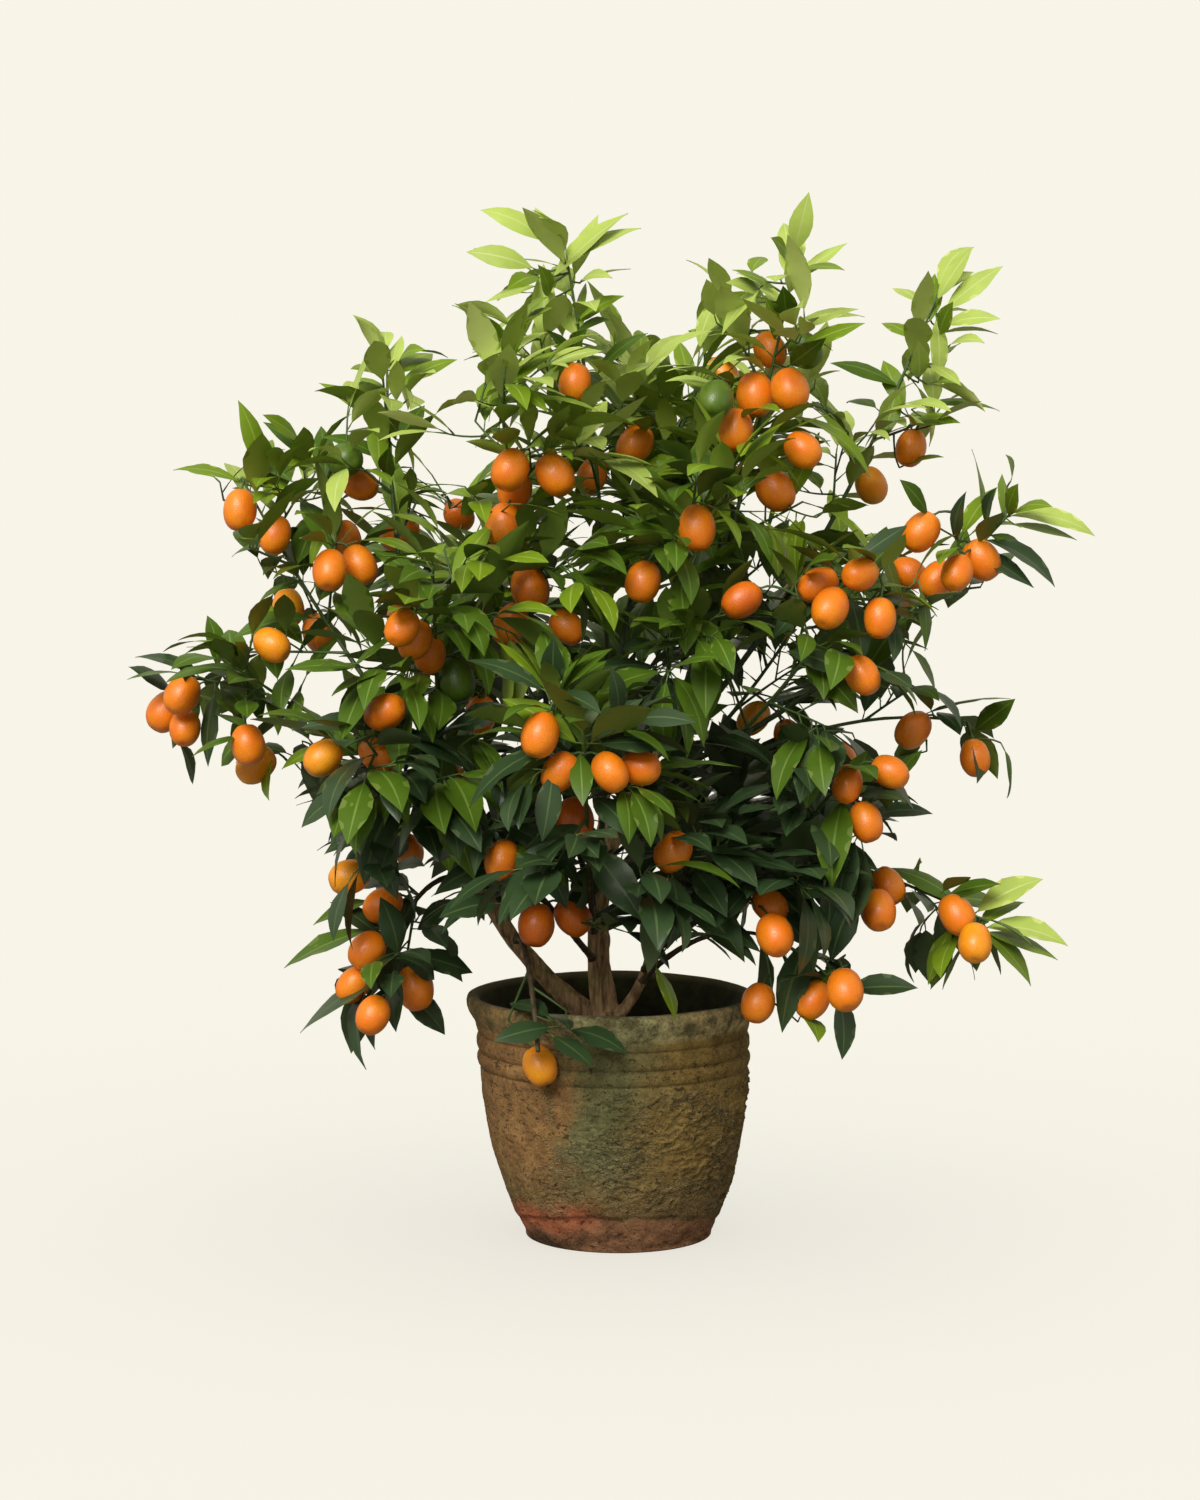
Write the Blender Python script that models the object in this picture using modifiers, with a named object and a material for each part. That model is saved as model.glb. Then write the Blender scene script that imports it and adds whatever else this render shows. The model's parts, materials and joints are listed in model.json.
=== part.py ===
"""A kumquat bush in a clay pot, in metres, +Z up, with the origin at the middle of the pot's flat underside.

The wood is one forked trunk, five main stems and the boughs that leave them. Every branch is one smooth
curve from its parent to the tip of its shoot: the bare part is the bough, and the leafy part is the stem of a
mass of foliage. The twigs, leaves and fruit of a mass grow from that stem by one seeded rule and keep to its
own space.
"""

import math
import random
from collections import namedtuple

import bmesh
import bpy
from mathutils import Matrix, Vector
from mathutils.bvhtree import BVHTree

GAP = 0.0003
UP = Vector((0, 0, 1))

# The pot
POT_HEIGHT = 0.185
RIM_RADIUS = 0.111
NECK_RADIUS = 0.1035
FOOT_RADIUS = 0.0715
POT_STEPS = 30
WALL = 0.009
FLOOR_THICKNESS = 0.012
DRAIN_HOLES = 3
DRAIN_RADIUS = 0.005
DRAIN_RING = 0.038
DRAIN_SIDES = 8

# The soil and the foot of the trunk
SOIL_LEVEL = 0.150
TRUNK_FOOT = Vector((-0.009, 0, SOIL_LEVEL + GAP))
FLARE_RADIUS = 0.023
TRUNK_RADIUS = 0.0135
TRUNK_STEPS = 10
COLLAR_SWELL = 1.15

# A leaf's length, its width, thickness and droop as shares of that, and how far from a twig's axis it starts
LEAF_LENGTH = 0.083
LEAF_WIDTH = 0.43
LEAF_THICKNESS = 0.022
LEAF_DROOP = 0.08
LEAF_SIZES = (0.85, 1.08)
LEAF_ROOT = 0.0006

# A fruit, how deep its stalk end is sunk, how many degrees it leans, and the share of the plant's fruit here
FRUIT_RADIUS = 0.0135
FRUIT_LENGTH = 0.035
FRUIT_SINK = 0.0022
FRUIT_LEAN = (5, 40)
FRUIT_SHARE = 0.25

# Boughs, shoots and twigs
LIMB_SIDES = 8
BOUGH_SIDES = 5
SHOOT_SIDES = 4
TWIG_SPACING = 0.042
FEWEST_TWIGS = 3
TWIG_LENGTH = 0.060
TWIG_RADIUS = 0.0018
TWIG_TAPER = 0.7
TWIG_SHARES = (1, 0.75, 0.55)
TWIGS_BETWEEN = (0.08, 0.85)
TWIG_LEAN = (48, 66)
GOLDEN_ANGLE = math.radians(137.5)
BOUGH_RADIUS = 0.0026
SHOOT_RADIUS = 0.0017
TIP_RADIUS = 0.0009
CURVE_POINTS = 9
STEM_POINTS = 7
FINE_STEPS = 60

# Leaves on a twig or stem: how many, between which shares of it, and how many degrees they lean from it
LEAVES_ON_TWIG = 3
LEAF_SPACING = 0.042
FEWEST_ON_STEM = 2
LEAVES_BETWEEN = (0.35, 0.97)
LEAF_LEAN = (50, 75)
END_LEAF_LEAN = (8, 30)
LEAF_ROLL = 45
LEAF_BEYOND = 0.032

# How strongly leaves and twigs hang at the foot of the crown and rise at its top
LOW_HEIGHT = 0.25
HIGH_HEIGHT = 0.62
LOW_DROOP = -0.65
HIGH_LIFT = 0.35
TWIG_LIFT = 0.4
LEAF_LIFT = 0.5

# A mass's own space, and how often a leaf or fruit tries another way before it is skipped
REACH = 0.135
SPACE_MARGIN = 0.0006
CLEAR_OF_ROOT = 0.12
TRIES = 5
LEAN_STEP = 22
SHRINK_STEP = 0.06

# How much of a stem is fused to the trunk, its radius at its foot and tip, and its foot, middle and tip
Stem = namedtuple("Stem", "name collar thick thin foot middle tip")
STEMS = (
    Stem("left", 0.2, 0.0072, 0.0036, (-0.018, -0.002, 0.166), (-0.098, -0.022, 0.262), (-0.139, -0.03, 0.385)),
    Stem("centre", 0.27, 0.005, 0.004, (-0.012, -0.004, 0.166), (-0.016, -0.01, 0.22), (-0.013, -0.012, 0.276)),
    Stem("right", 0.15, 0.0062, 0.0036, (-0.003, 0.001, 0.166), (-0.004, 0.004, 0.29), (0.057, 0.01, 0.405)),
    Stem("low_right", 0.38, 0.0044, 0.003, (-0.001, -0.004, 0.166), (0.018, -0.006, 0.19), (0.031, -0.005, 0.231)),
    Stem("back", 0.18, 0.0058, 0.0036, (-0.009, 0.009, 0.166), (-0.012, 0.055, 0.23), (-0.006, 0.085, 0.345)),
)

# Where a branch leaves its parent, how far it reaches, how high its curve arches, the share of it that is a
# bare bough, how many fruit the plant has on it, and whereabouts they hang on its leafy stem
Branch = namedtuple("Branch", "name parent at tip arch bare fruits fruit_at")
LEAFY_TO_THE_STEM = ("front_low", "front_low_right", "rim_front", "back_middle")
BRANCHES = (
    Branch("far_left", "left", 0.74, (-0.328, 0.02, 0.425), 0.050, 0.42, 5, 0.9),
    Branch("left_upper", "left", 0.90, (-0.290, 0.03, 0.588), -0.030, 0.36, 7, 0.5),
    Branch("left_top", "left", 1.0, (-0.175, 0.06, 0.675), -0.010, 0.45, 2, 0.2),
    Branch("front_left", "left", 0.82, (-0.130, -0.15, 0.520), -0.050, 0.40, 4, 0.4),
    Branch("front_left_low", "left", 0.66, (-0.178, -0.15, 0.392), -0.012, 0.36, 4, 0.8),
    Branch("low_left", "left", 0.52, (-0.178, -0.075, 0.208), 0.070, 0.46, 6, 0.6),
    Branch("top_left", "centre", 1.0, (-0.035, -0.03, 0.735), -0.010, 0.55, 3, 0.2),
    Branch("upper_left", "centre", 0.80, (-0.085, -0.11, 0.650), -0.090, 0.52, 5, 0.1),
    Branch("centre_upper", "right", 1.0, (0.020, 0.03, 0.655), -0.020, 0.30, 3, 0.3),
    Branch("centre_front", "right", 0.66, (0.058, -0.13, 0.580), -0.090, 0.44, 3, 0.5),
    Branch("front_centre", "centre", 0.62, (-0.022, -0.215, 0.400), -0.050, 0.46, 7, 0.8),
    Branch("front_low", "centre", 0.42, (-0.090, -0.14, 0.322), 0.000, 0.30, 3, 0.7),
    Branch("front_low_right", "low_right", 0.62, (0.060, -0.135, 0.322), -0.010, 0.26, 3, 0.7),
    Branch("rim_front", "left", 0.33, (-0.056, -0.138, 0.165), 0.060, 0.50, 1, 0.9),
    Branch("top_right", "right", 0.89, (0.132, -0.04, 0.732), -0.050, 0.40, 8, 0.3),
    Branch("far_right_top", "right", 0.80, (0.250, 0.08, 0.718), -0.090, 0.52, 2, 0.1),
    Branch("right_upper", "right", 0.72, (0.290, -0.04, 0.548), -0.050, 0.56, 6, 0.3),
    Branch("right_inner", "right", 0.61, (0.172, -0.12, 0.500), -0.050, 0.46, 7, 0.6),
    Branch("right_thin", "right", 0.52, (0.274, 0.06, 0.388), 0.070, 0.56, 3, 0.9),
    Branch("right_middle", "low_right", 0.80, (0.172, -0.10, 0.365), -0.020, 0.42, 5, 0.7),
    Branch("right_low", "low_right", 1.0, (0.285, -0.04, 0.243), 0.0, 0.46, 5, 0.6),
    Branch("bottom_right", "low_right", 0.50, (0.155, -0.10, 0.215), 0.070, 0.42, 4, 0.8),
    Branch("back_top", "back", 1.0, (0.060, 0.17, 0.665), -0.020, 0.42, 4, 0.4),
    Branch("back_upper_left", "back", 0.88, (-0.140, 0.24, 0.560), -0.050, 0.42, 4, 0.5),
    Branch("back_right", "back", 0.78, (0.190, 0.24, 0.520), -0.060, 0.44, 5, 0.5),
    Branch("back_middle", "back", 0.70, (0.010, 0.27, 0.430), 0.040, 0.36, 3, 0.6),
    Branch("back_low_left", "back", 0.62, (-0.190, 0.22, 0.330), 0.060, 0.42, 4, 0.7),
    Branch("back_low_right", "back", 0.52, (0.140, 0.25, 0.290), 0.080, 0.40, 4, 0.7),
)

Material = namedtuple("Material", "colour roughness")
MATERIALS = {
    "clay": Material((0.22, 0.14, 0.08), 0.9),
    "soil": Material((0.03, 0.02, 0.012), 1.0),
    "bark": Material((0.16, 0.085, 0.045), 0.85),
    "green_bark": Material((0.05, 0.09, 0.02), 0.6),
    "leaf": Material((0.045, 0.10, 0.02), 0.45),
    "fruit": Material((0.85, 0.24, 0.01), 0.35),
}
FOLIAGE_MATERIALS = ("green_bark", "leaf", "fruit")


def clear_scene():
    for obj in list(bpy.data.objects):
        bpy.data.objects.remove(obj)


def new_collection(name, hidden=False):
    collection = bpy.data.collections.new(name)
    collection.hide_render = hidden
    bpy.context.scene.collection.children.link(collection)
    return collection


def make_material(name):
    material = bpy.data.materials.new(name)
    material.use_nodes = True
    shader = material.node_tree.nodes["Principled BSDF"]
    shader.inputs["Base Color"].default_value = (*MATERIALS[name].colour, 1)
    shader.inputs["Roughness"].default_value = MATERIALS[name].roughness
    shader.inputs["Metallic"].default_value = 0
    return material


def add_object(name, data, collection, materials=()):
    obj = bpy.data.objects.new(name, data)
    collection.objects.link(obj)
    for material in materials:
        obj.data.materials.append(material)
    return obj


def bezier(start, middle, end, t):
    """A point of the quadratic curve with these three handles."""
    return start * (1 - t) ** 2 + middle * (2 * t * (1 - t)) + end * t * t


def trail(start, middle, end, count):
    """Points along the quadratic curve, evenly spaced along its length."""
    fine = [bezier(start, middle, end, i / FINE_STEPS) for i in range(FINE_STEPS + 1)]
    lengths = [0]
    for a, b in zip(fine, fine[1:]):
        lengths.append(lengths[-1] + (b - a).length)
    points = []
    for i in range(count):
        wanted = lengths[-1] * i / (count - 1)
        k = next((n for n in range(1, FINE_STEPS) if lengths[n] >= wanted), FINE_STEPS)
        share = (wanted - lengths[k - 1]) / (lengths[k] - lengths[k - 1])
        points.append(fine[k - 1].lerp(fine[k], share))
    return points


def along(path, share):
    """The point and the direction at a share of a path whose points are evenly spaced."""
    place = share * (len(path) - 1)
    k = min(int(place), len(path) - 2)
    return path[k].lerp(path[k + 1], place - k), (path[k + 1] - path[k]).normalized()


def length_of(path):
    return sum((b - a).length for a, b in zip(path, path[1:]))


def piece_of(path, low, high):
    """The stretch of a path between two shares of its length, with the path's own points."""
    last = len(path) - 1
    inner = [path[i] for i in range(last + 1) if low * last < i < high * last]
    return [along(path, low)[0]] + inner + [along(path, high)[0]]


def midway(share, path):
    """The share nearest to this one that lies half-way along one of a path's stretches."""
    stretches = len(path) - 1
    return (max(0, round(share * stretches - 0.5)) + 0.5) / stretches


def tube(name, path, thick, thin, sides, collection, materials=()):
    """A closed tapered tube with that many sides, swept along a path as a bevelled curve."""
    ring = bpy.data.curves.new(name + "_ring", "CURVE")
    spline = ring.splines.new("POLY")
    spline.points.add(sides - 1)
    for i, point in enumerate(spline.points):
        turn = -2 * math.pi * i / sides
        point.co = (math.cos(turn), math.sin(turn), 0, 1)
    spline.use_cyclic_u = True
    ring_object = bpy.data.objects.new(name + "_ring", ring)
    curve = bpy.data.curves.new(name, "CURVE")
    curve.dimensions = "3D"
    line = curve.splines.new("POLY")
    line.points.add(len(path) - 1)
    whole, done = length_of(path), 0
    for i, (point, place) in enumerate(zip(line.points, path)):
        done += (place - path[i - 1]).length if i else 0
        point.co = (*place, 1)
        point.radius = thick + (thin - thick) * done / whole
    curve.bevel_mode = "OBJECT"
    curve.bevel_object = ring_object
    curve.use_fill_caps = True
    swept = add_object(name + "_sweep", curve, bpy.context.scene.collection)
    graph = bpy.context.evaluated_depsgraph_get()
    mesh = bpy.data.meshes.new_from_object(swept.evaluated_get(graph))
    for helper in (swept, ring_object):
        bpy.data.objects.remove(helper)
    weld(mesh)
    mesh.materials.clear()
    mesh.name = name
    return add_object(name, mesh, collection, materials)


def weld(mesh):
    work = bmesh.new()
    work.from_mesh(mesh)
    bmesh.ops.remove_doubles(work, verts=work.verts, dist=1e-6)
    bmesh.ops.recalc_face_normals(work, faces=work.faces)
    work.to_mesh(mesh)
    work.free()


def apply_boolean(obj, operation, other, solver="EXACT"):
    """Joins to an object, or cuts from it, one object or a whole collection, and applies the result."""
    modifier = obj.modifiers.new(operation.lower(), "BOOLEAN")
    modifier.operation = operation
    modifier.solver = solver
    if isinstance(other, bpy.types.Collection):
        modifier.operand_type = "COLLECTION"
        modifier.collection = other
    else:
        modifier.object = other
    graph = bpy.context.evaluated_depsgraph_get()
    mesh = bpy.data.meshes.new_from_object(obj.evaluated_get(graph))
    obj.modifiers.clear()
    obj.data = mesh


def empty_collection(collection):
    for obj in list(collection.objects):
        bpy.data.objects.remove(obj)
    bpy.data.collections.remove(collection)


def face_bodies(work):
    """Groups of faces that hang together by their edges."""
    seen, bodies = set(), []
    for first in work.faces:
        if first in seen:
            continue
        body, front = {first}, [first]
        while front:
            for edge in front.pop().edges:
                for face in edge.link_faces if len(edge.link_faces) == 2 else ():
                    if face not in body:
                        body.add(face)
                        front.append(face)
        seen |= body
        bodies.append(body)
    return bodies


def keep_largest_body(mesh):
    """Drops loose scraps, and the inner walls of hollows that a union has sealed."""
    work = bmesh.new()
    work.from_mesh(mesh)
    bmesh.ops.triangulate(work, faces=work.faces)
    bodies = sorted(face_bodies(work), key=len)
    for body in bodies[:-1]:
        bmesh.ops.delete(work, geom=list(body), context="FACES")
    work.to_mesh(mesh)
    work.free()


def turned(name, profile, steps, collection, materials):
    """A solid of revolution about Z from a profile that runs down its outer side."""
    mesh = bpy.data.meshes.new(name)
    edges = [(i, i + 1) for i in range(len(profile) - 1)]
    mesh.from_pydata([(radius, 0, height) for radius, height in profile], edges, [])
    obj = add_object(name, mesh, collection, materials)
    screw = obj.modifiers.new("turn", "SCREW")
    screw.steps = screw.render_steps = steps
    screw.use_merge_vertices = True
    screw.merge_threshold = 1e-5
    return obj


def pot_wall():
    """The pot's outer and inner profiles, each from the top of the rim down."""
    outer = [
        (RIM_RADIUS - 0.003, POT_HEIGHT),
        (RIM_RADIUS, POT_HEIGHT - 0.004),
        (RIM_RADIUS - 0.0005, 0.175),
        (0.1065, 0.168),
        (NECK_RADIUS, 0.165),
        (NECK_RADIUS + 0.0012, 0.160),
        (NECK_RADIUS - 0.001, 0.156),
        (NECK_RADIUS + 0.001, 0.150),
        (NECK_RADIUS - 0.001, 0.145),
        (0.1018, 0.120),
        (0.0990, 0.094),
        (0.0940, 0.068),
        (0.0870, 0.042),
        (0.0800, 0.020),
        (0.0750, 0.006),
        (FOOT_RADIUS, 0),
    ]
    inner = [
        (RIM_RADIUS - 0.009, POT_HEIGHT),
        (NECK_RADIUS - WALL, POT_HEIGHT - 0.010),
        (0.0990 - WALL, 0.094),
        (0.0800 - WALL, 0.024),
        (0.0700 - WALL, FLOOR_THICKNESS),
    ]
    return outer, inner


def make_pot(collection, cutters, materials):
    outer, inner = pot_wall()
    profile = [(0, FLOOR_THICKNESS)] + inner[::-1] + outer + [(0, 0)]
    pot = turned("pot", profile, POT_STEPS, collection, materials)
    for i in range(DRAIN_HOLES):
        turn = 2 * math.pi * (i + 0.5) / DRAIN_HOLES
        work = bmesh.new()
        size = {"radius1": DRAIN_RADIUS, "radius2": DRAIN_RADIUS, "depth": 4 * FLOOR_THICKNESS}
        bmesh.ops.create_cone(work, cap_ends=True, segments=DRAIN_SIDES, **size)
        mesh = bpy.data.meshes.new("drain_hole")
        work.to_mesh(mesh)
        work.free()
        hole = add_object("drain_hole", mesh, cutters)
        hole.location = (DRAIN_RING * math.cos(turn), DRAIN_RING * math.sin(turn), 0)
        hole.display_type = "WIRE"
        hole.hide_render = True
        cut = pot.modifiers.new("drain", "BOOLEAN")
        cut.operation = "DIFFERENCE"
        cut.object = hole
    return pot


def make_soil(collection, materials):
    """Potting soil that fills the pot to the soil level, a little clear of the wall."""
    inner = pot_wall()[1]
    (high_radius, high), (low_radius, low) = inner[1], inner[2]
    slope = (high_radius - low_radius) / (high - low)
    edge = low_radius + slope * (SOIL_LEVEL - low)
    clear = 2 * GAP
    profile = [(0, SOIL_LEVEL), (edge - clear, SOIL_LEVEL)]
    profile += [(radius - clear, height) for radius, height in inner[2:-1]]
    profile += [(inner[-1][0] - clear, FLOOR_THICKNESS + GAP), (0, FLOOR_THICKNESS + GAP)]
    return turned("soil", profile, POT_STEPS, collection, materials)


def stem_path(stem):
    foot, middle, tip = Vector(stem.foot), Vector(stem.middle), Vector(stem.tip)
    return trail(foot, 2 * middle - (foot + tip) / 2, tip, STEM_POINTS)


def make_trunk(collection, materials):
    """The flared foot on the soil, its underside a flat cut, with a collar for each stem fused on."""
    height = STEMS[0].foot[2] - TRUNK_FOOT.z
    profile = [
        (0, height + 0.006),
        (TRUNK_RADIUS * 0.7, height + 0.004),
        (TRUNK_RADIUS, height - 0.004),
        (TRUNK_RADIUS * 1.2, height * 0.4),
        (FLARE_RADIUS, 0),
        (0, 0),
    ]
    trunk = turned("trunk", profile, TRUNK_STEPS, collection, materials)
    trunk.location = TRUNK_FOOT
    collars = bpy.data.collections.new("collars")
    for stem in STEMS:
        path = stem_path(stem)
        path = piece_of(path, 0, midway(stem.collar, path))
        path[0] = path[0] - (path[1] - path[0]).normalized() * stem.thick
        width = stem.thick + (stem.thin - stem.thick) * stem.collar
        tube("collar", path, stem.thick * COLLAR_SWELL, width, LIMB_SIDES, collars)
    apply_boolean(trunk, "UNION", collars)
    empty_collection(collars)
    keep_largest_body(trunk.data)
    return trunk


def make_stems(collection, materials):
    """Each stem from the end of its collar to its tip. Returns the full path and radii of each, by name."""
    limbs = {}
    for stem in STEMS:
        path = stem_path(stem)
        shown = piece_of(path, midway(stem.collar, path) + GAP / length_of(path), 1)
        width = stem.thick + (stem.thin - stem.thick) * stem.collar
        tube("stem_" + stem.name, shown, width, stem.thin, LIMB_SIDES, collection, materials)
        limbs[stem.name] = (path, stem.thick, stem.thin)
    return limbs


def branch_path(branch, limbs):
    """The curve of a branch from its parent's axis, or the parent's end, to where its last leaves begin."""
    start, heading = along(limbs[branch.parent][0], branch.at)
    tip = Vector(branch.tip)
    middle = (start + tip) / 2 + UP * branch.arch
    if branch.at == 1.0:
        middle = start + heading * (tip - start).length * 0.5 + UP * branch.arch
    whole = trail(start, middle, tip, 4 * CURVE_POINTS)
    wood = 1 - LEAF_BEYOND / length_of(whole)
    return [along(whole, wood * i / (CURVE_POINTS - 1))[0] for i in range(CURVE_POINTS)]


def cut_at_parent(obj, branch, limbs):
    """Cuts a limb back to the surface of its parent, a gap clear of it."""
    parent, thick, thin = limbs[branch.parent]
    longer = parent[:-1] + [parent[-1] + (parent[-1] - parent[-2]).normalized() * GAP]
    swell = 1 / math.cos(math.pi / LIMB_SIDES)
    thick, thin = (thick + GAP) * swell, (thin + GAP) * swell
    wood = tube("cutter", longer, thick, thin, LIMB_SIDES, bpy.context.scene.collection)
    apply_boolean(obj, "DIFFERENCE", wood)
    bpy.data.objects.remove(wood)


def make_bough(branch, path, limbs, collection, materials):
    """The bare part of a branch, cut to the surface of its parent."""
    parent, thick, thin = limbs[branch.parent]
    foot_radius = min(BOUGH_RADIUS, 0.8 * (thick + (thin - thick) * branch.at))
    bare = piece_of(path, 0, midway(branch.bare, path))
    bough = tube("bough_" + branch.name, bare, foot_radius, SHOOT_RADIUS, BOUGH_SIDES, collection, materials)
    cut_at_parent(bough, branch, limbs)
    keep_largest_body(bough.data)


def spin(direction, angle, lean):
    """A direction that leans away from another by an angle, turned about it by another angle."""
    side = direction.cross(UP if abs(direction.z) < 0.9 else Vector((1, 0, 0))).normalized()
    out = Matrix.Rotation(angle, 3, direction) @ side
    return (direction * math.cos(lean) + out * math.sin(lean)).normalized()


def habit(height):
    """How much young wood and leaves rise at the top of the crown and hang at its foot."""
    share = min(1, max(0, (height - LOW_HEIGHT) / (HIGH_HEIGHT - LOW_HEIGHT)))
    return LOW_DROOP + (HIGH_LIFT - LOW_DROOP) * share


def twig_sites(branch, stem):
    """Where twigs leave a shoot's stem, spiralling up it: (start, direction, length)."""
    rng = random.Random("twigs " + branch.name)
    count = max(FEWEST_TWIGS, round(length_of(stem) / TWIG_SPACING))
    turn = rng.uniform(0, 2 * math.pi)
    first, last = TWIGS_BETWEEN
    for i in range(count):
        share = first + (last - first) * i / (count - 1)
        start, heading = along(stem, share)
        turn += GOLDEN_ANGLE
        direction = spin(heading, turn, math.radians(rng.uniform(*TWIG_LEAN)))
        direction = (direction + UP * TWIG_LIFT * habit(start.z)).normalized()
        yield start, direction, TWIG_LENGTH * (1.15 - 0.45 * share) * rng.uniform(0.85, 1.15)


def leaf_sites(rng, path, count):
    """Where leaves leave a twig or stem, from its tip: a few tries each of (start, direction, roll, size)."""
    turn = rng.uniform(0, 2 * math.pi)
    first, last = LEAVES_BETWEEN
    for i in range(count):
        share = last - (last - first) * i / (count - 1)
        start, heading = along(path, share)
        size = rng.uniform(*LEAF_SIZES)
        tries = []
        for attempt in range(TRIES):
            turn += GOLDEN_ANGLE
            lean = rng.uniform(*END_LEAF_LEAN) + LEAN_STEP * attempt if i == 0 else rng.uniform(*LEAF_LEAN)
            direction = spin(heading, turn, math.radians(lean))
            rise = habit(start.z) + rng.uniform(-0.2, 0.2)
            roll = math.radians(rng.uniform(-LEAF_ROLL, LEAF_ROLL))
            direction = (direction + UP * LEAF_LIFT * rise).normalized()
            tries.append((start, direction, roll, size * (1 - SHRINK_STEP * attempt)))
        yield tries


def leaf_corners(start, direction, roll, length, root=0.0):
    """The six corners of a leaf's outline, from its root round by its tip, then its front and back."""
    level = direction.cross(UP)
    level = level.normalized() if level.length > 0.05 else Vector((1, 0, 0))
    side = Matrix.Rotation(roll, 3, direction) @ level
    face = side.cross(direction)
    half = LEAF_WIDTH / 2
    outline = [(root, 0, 0), (0.32, half, 0.03), (0.68, half, 0)]
    outline += [(1, 0, -LEAF_DROOP), (0.68, -half, 0), (0.32, -half, 0.03)]
    corners = [start + (direction * x + side * y + face * z) * length for x, y, z in outline]
    middle = start + direction * 0.5 * length
    thick = face * LEAF_THICKNESS * length / 2
    return corners + [middle + thick, middle - thick]


def leaf_faces():
    """The faces of a sphere of six segments and two rings, by the corners that its points stand for."""
    work = bmesh.new()
    bmesh.ops.create_uvsphere(work, u_segments=6, v_segments=2, radius=1)
    corners = {}
    for vert in work.verts:
        turn = math.atan2(vert.co.y, vert.co.x)
        pole = 6 if vert.co.z > 0 else 7
        corners[vert] = pole if abs(vert.co.z) > 0.5 else round(turn / (math.pi / 3)) % 6
    faces = [tuple(corners[vert] for vert in face.verts) for face in work.faces]
    work.free()
    return faces


def tree_of(obj):
    """A search tree of an object's faces, in world space."""
    shape = obj.evaluated_get(bpy.context.evaluated_depsgraph_get()) if obj.modifiers else obj
    corners = [obj.matrix_world @ vert.co for vert in shape.data.vertices]
    return BVHTree.FromPolygons(corners, [tuple(face.vertices) for face in shape.data.polygons])


def crosses(tree, others):
    return any(tree.overlap(other) for other in others)


def distance_to(path, point):
    """The distance from a point to a path of straight stretches."""
    best = 1.0
    for a, b in zip(path, path[1:]):
        run = b - a
        share = min(1, max(0, (point - a).dot(run) / run.length_squared))
        best = min(best, (point - a - run * share).length)
    return best


def in_own_space(points, name, spines):
    """Whether every point is nearer to this mass's leafy stem than to any other's, and within its reach."""
    for point in points:
        own = distance_to(spines[name], point)
        if own > REACH:
            return False
        for other, path in spines.items():
            if other != name and distance_to(path, point) < own + SPACE_MARGIN:
                return False
    return True


def twig_body(start, direction, length, collection):
    work = bmesh.new()
    size = {"radius1": TWIG_RADIUS, "radius2": TWIG_RADIUS * TWIG_TAPER, "depth": length}
    bmesh.ops.create_cone(work, cap_ends=True, segments=3, **size)
    turn = direction.to_track_quat("Z", "Y").to_matrix().to_4x4()
    place = Matrix.Translation(start + direction * length / 2) @ turn
    bmesh.ops.transform(work, matrix=place, verts=work.verts)
    return body_of("twig", work, collection, "green_bark")


def leaf_body(corners, faces, collection):
    work = bmesh.new()
    verts = [work.verts.new(corner) for corner in corners]
    for face in faces:
        work.faces.new([verts[i] for i in face])
    bmesh.ops.recalc_face_normals(work, faces=work.faces)
    return body_of("leaf", work, collection, "leaf")


def fruit_body(start, direction, collection):
    """An oval fruit that hangs from a point, its stalk end sunk in the wood there."""
    work = bmesh.new()
    bmesh.ops.create_uvsphere(work, u_segments=6, v_segments=4, radius=1)
    bmesh.ops.scale(work, vec=(FRUIT_RADIUS, FRUIT_RADIUS, FRUIT_LENGTH / 2), verts=work.verts)
    turn = direction.to_track_quat("Z", "Y").to_matrix().to_4x4()
    centre = start + direction * (FRUIT_LENGTH / 2 - FRUIT_SINK)
    bmesh.ops.transform(work, matrix=Matrix.Translation(centre) @ turn, verts=work.verts)
    return body_of("fruit", work, collection, "fruit")


def body_of(name, work, collection, material):
    for face in work.faces:
        face.material_index = FOLIAGE_MATERIALS.index(material)
    mesh = bpy.data.meshes.new(name)
    work.to_mesh(mesh)
    work.free()
    return add_object(name, mesh, collection)


def grow_twigs(branch, spines, others, parts):
    """The twigs of a mass that fit in its space, at full length or cut shorter: (path, tree) pairs."""
    twigs = []
    for start, direction, length in twig_sites(branch, spines[branch.name]):
        for share in TWIG_SHARES:
            tip = start + direction * length * share
            twig = twig_body(start, direction, length * share, parts)
            free = twig_body(start + direction * 3 * TWIG_RADIUS, direction, length * share, parts)
            blocked = crosses(tree_of(free), others + [tree for path, tree in twigs])
            bpy.data.objects.remove(free)
            if in_own_space([tip], branch.name, spines) and not blocked:
                twigs.append(([start, tip], tree_of(twig)))
                break
            bpy.data.objects.remove(twig)
    return twigs


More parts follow.
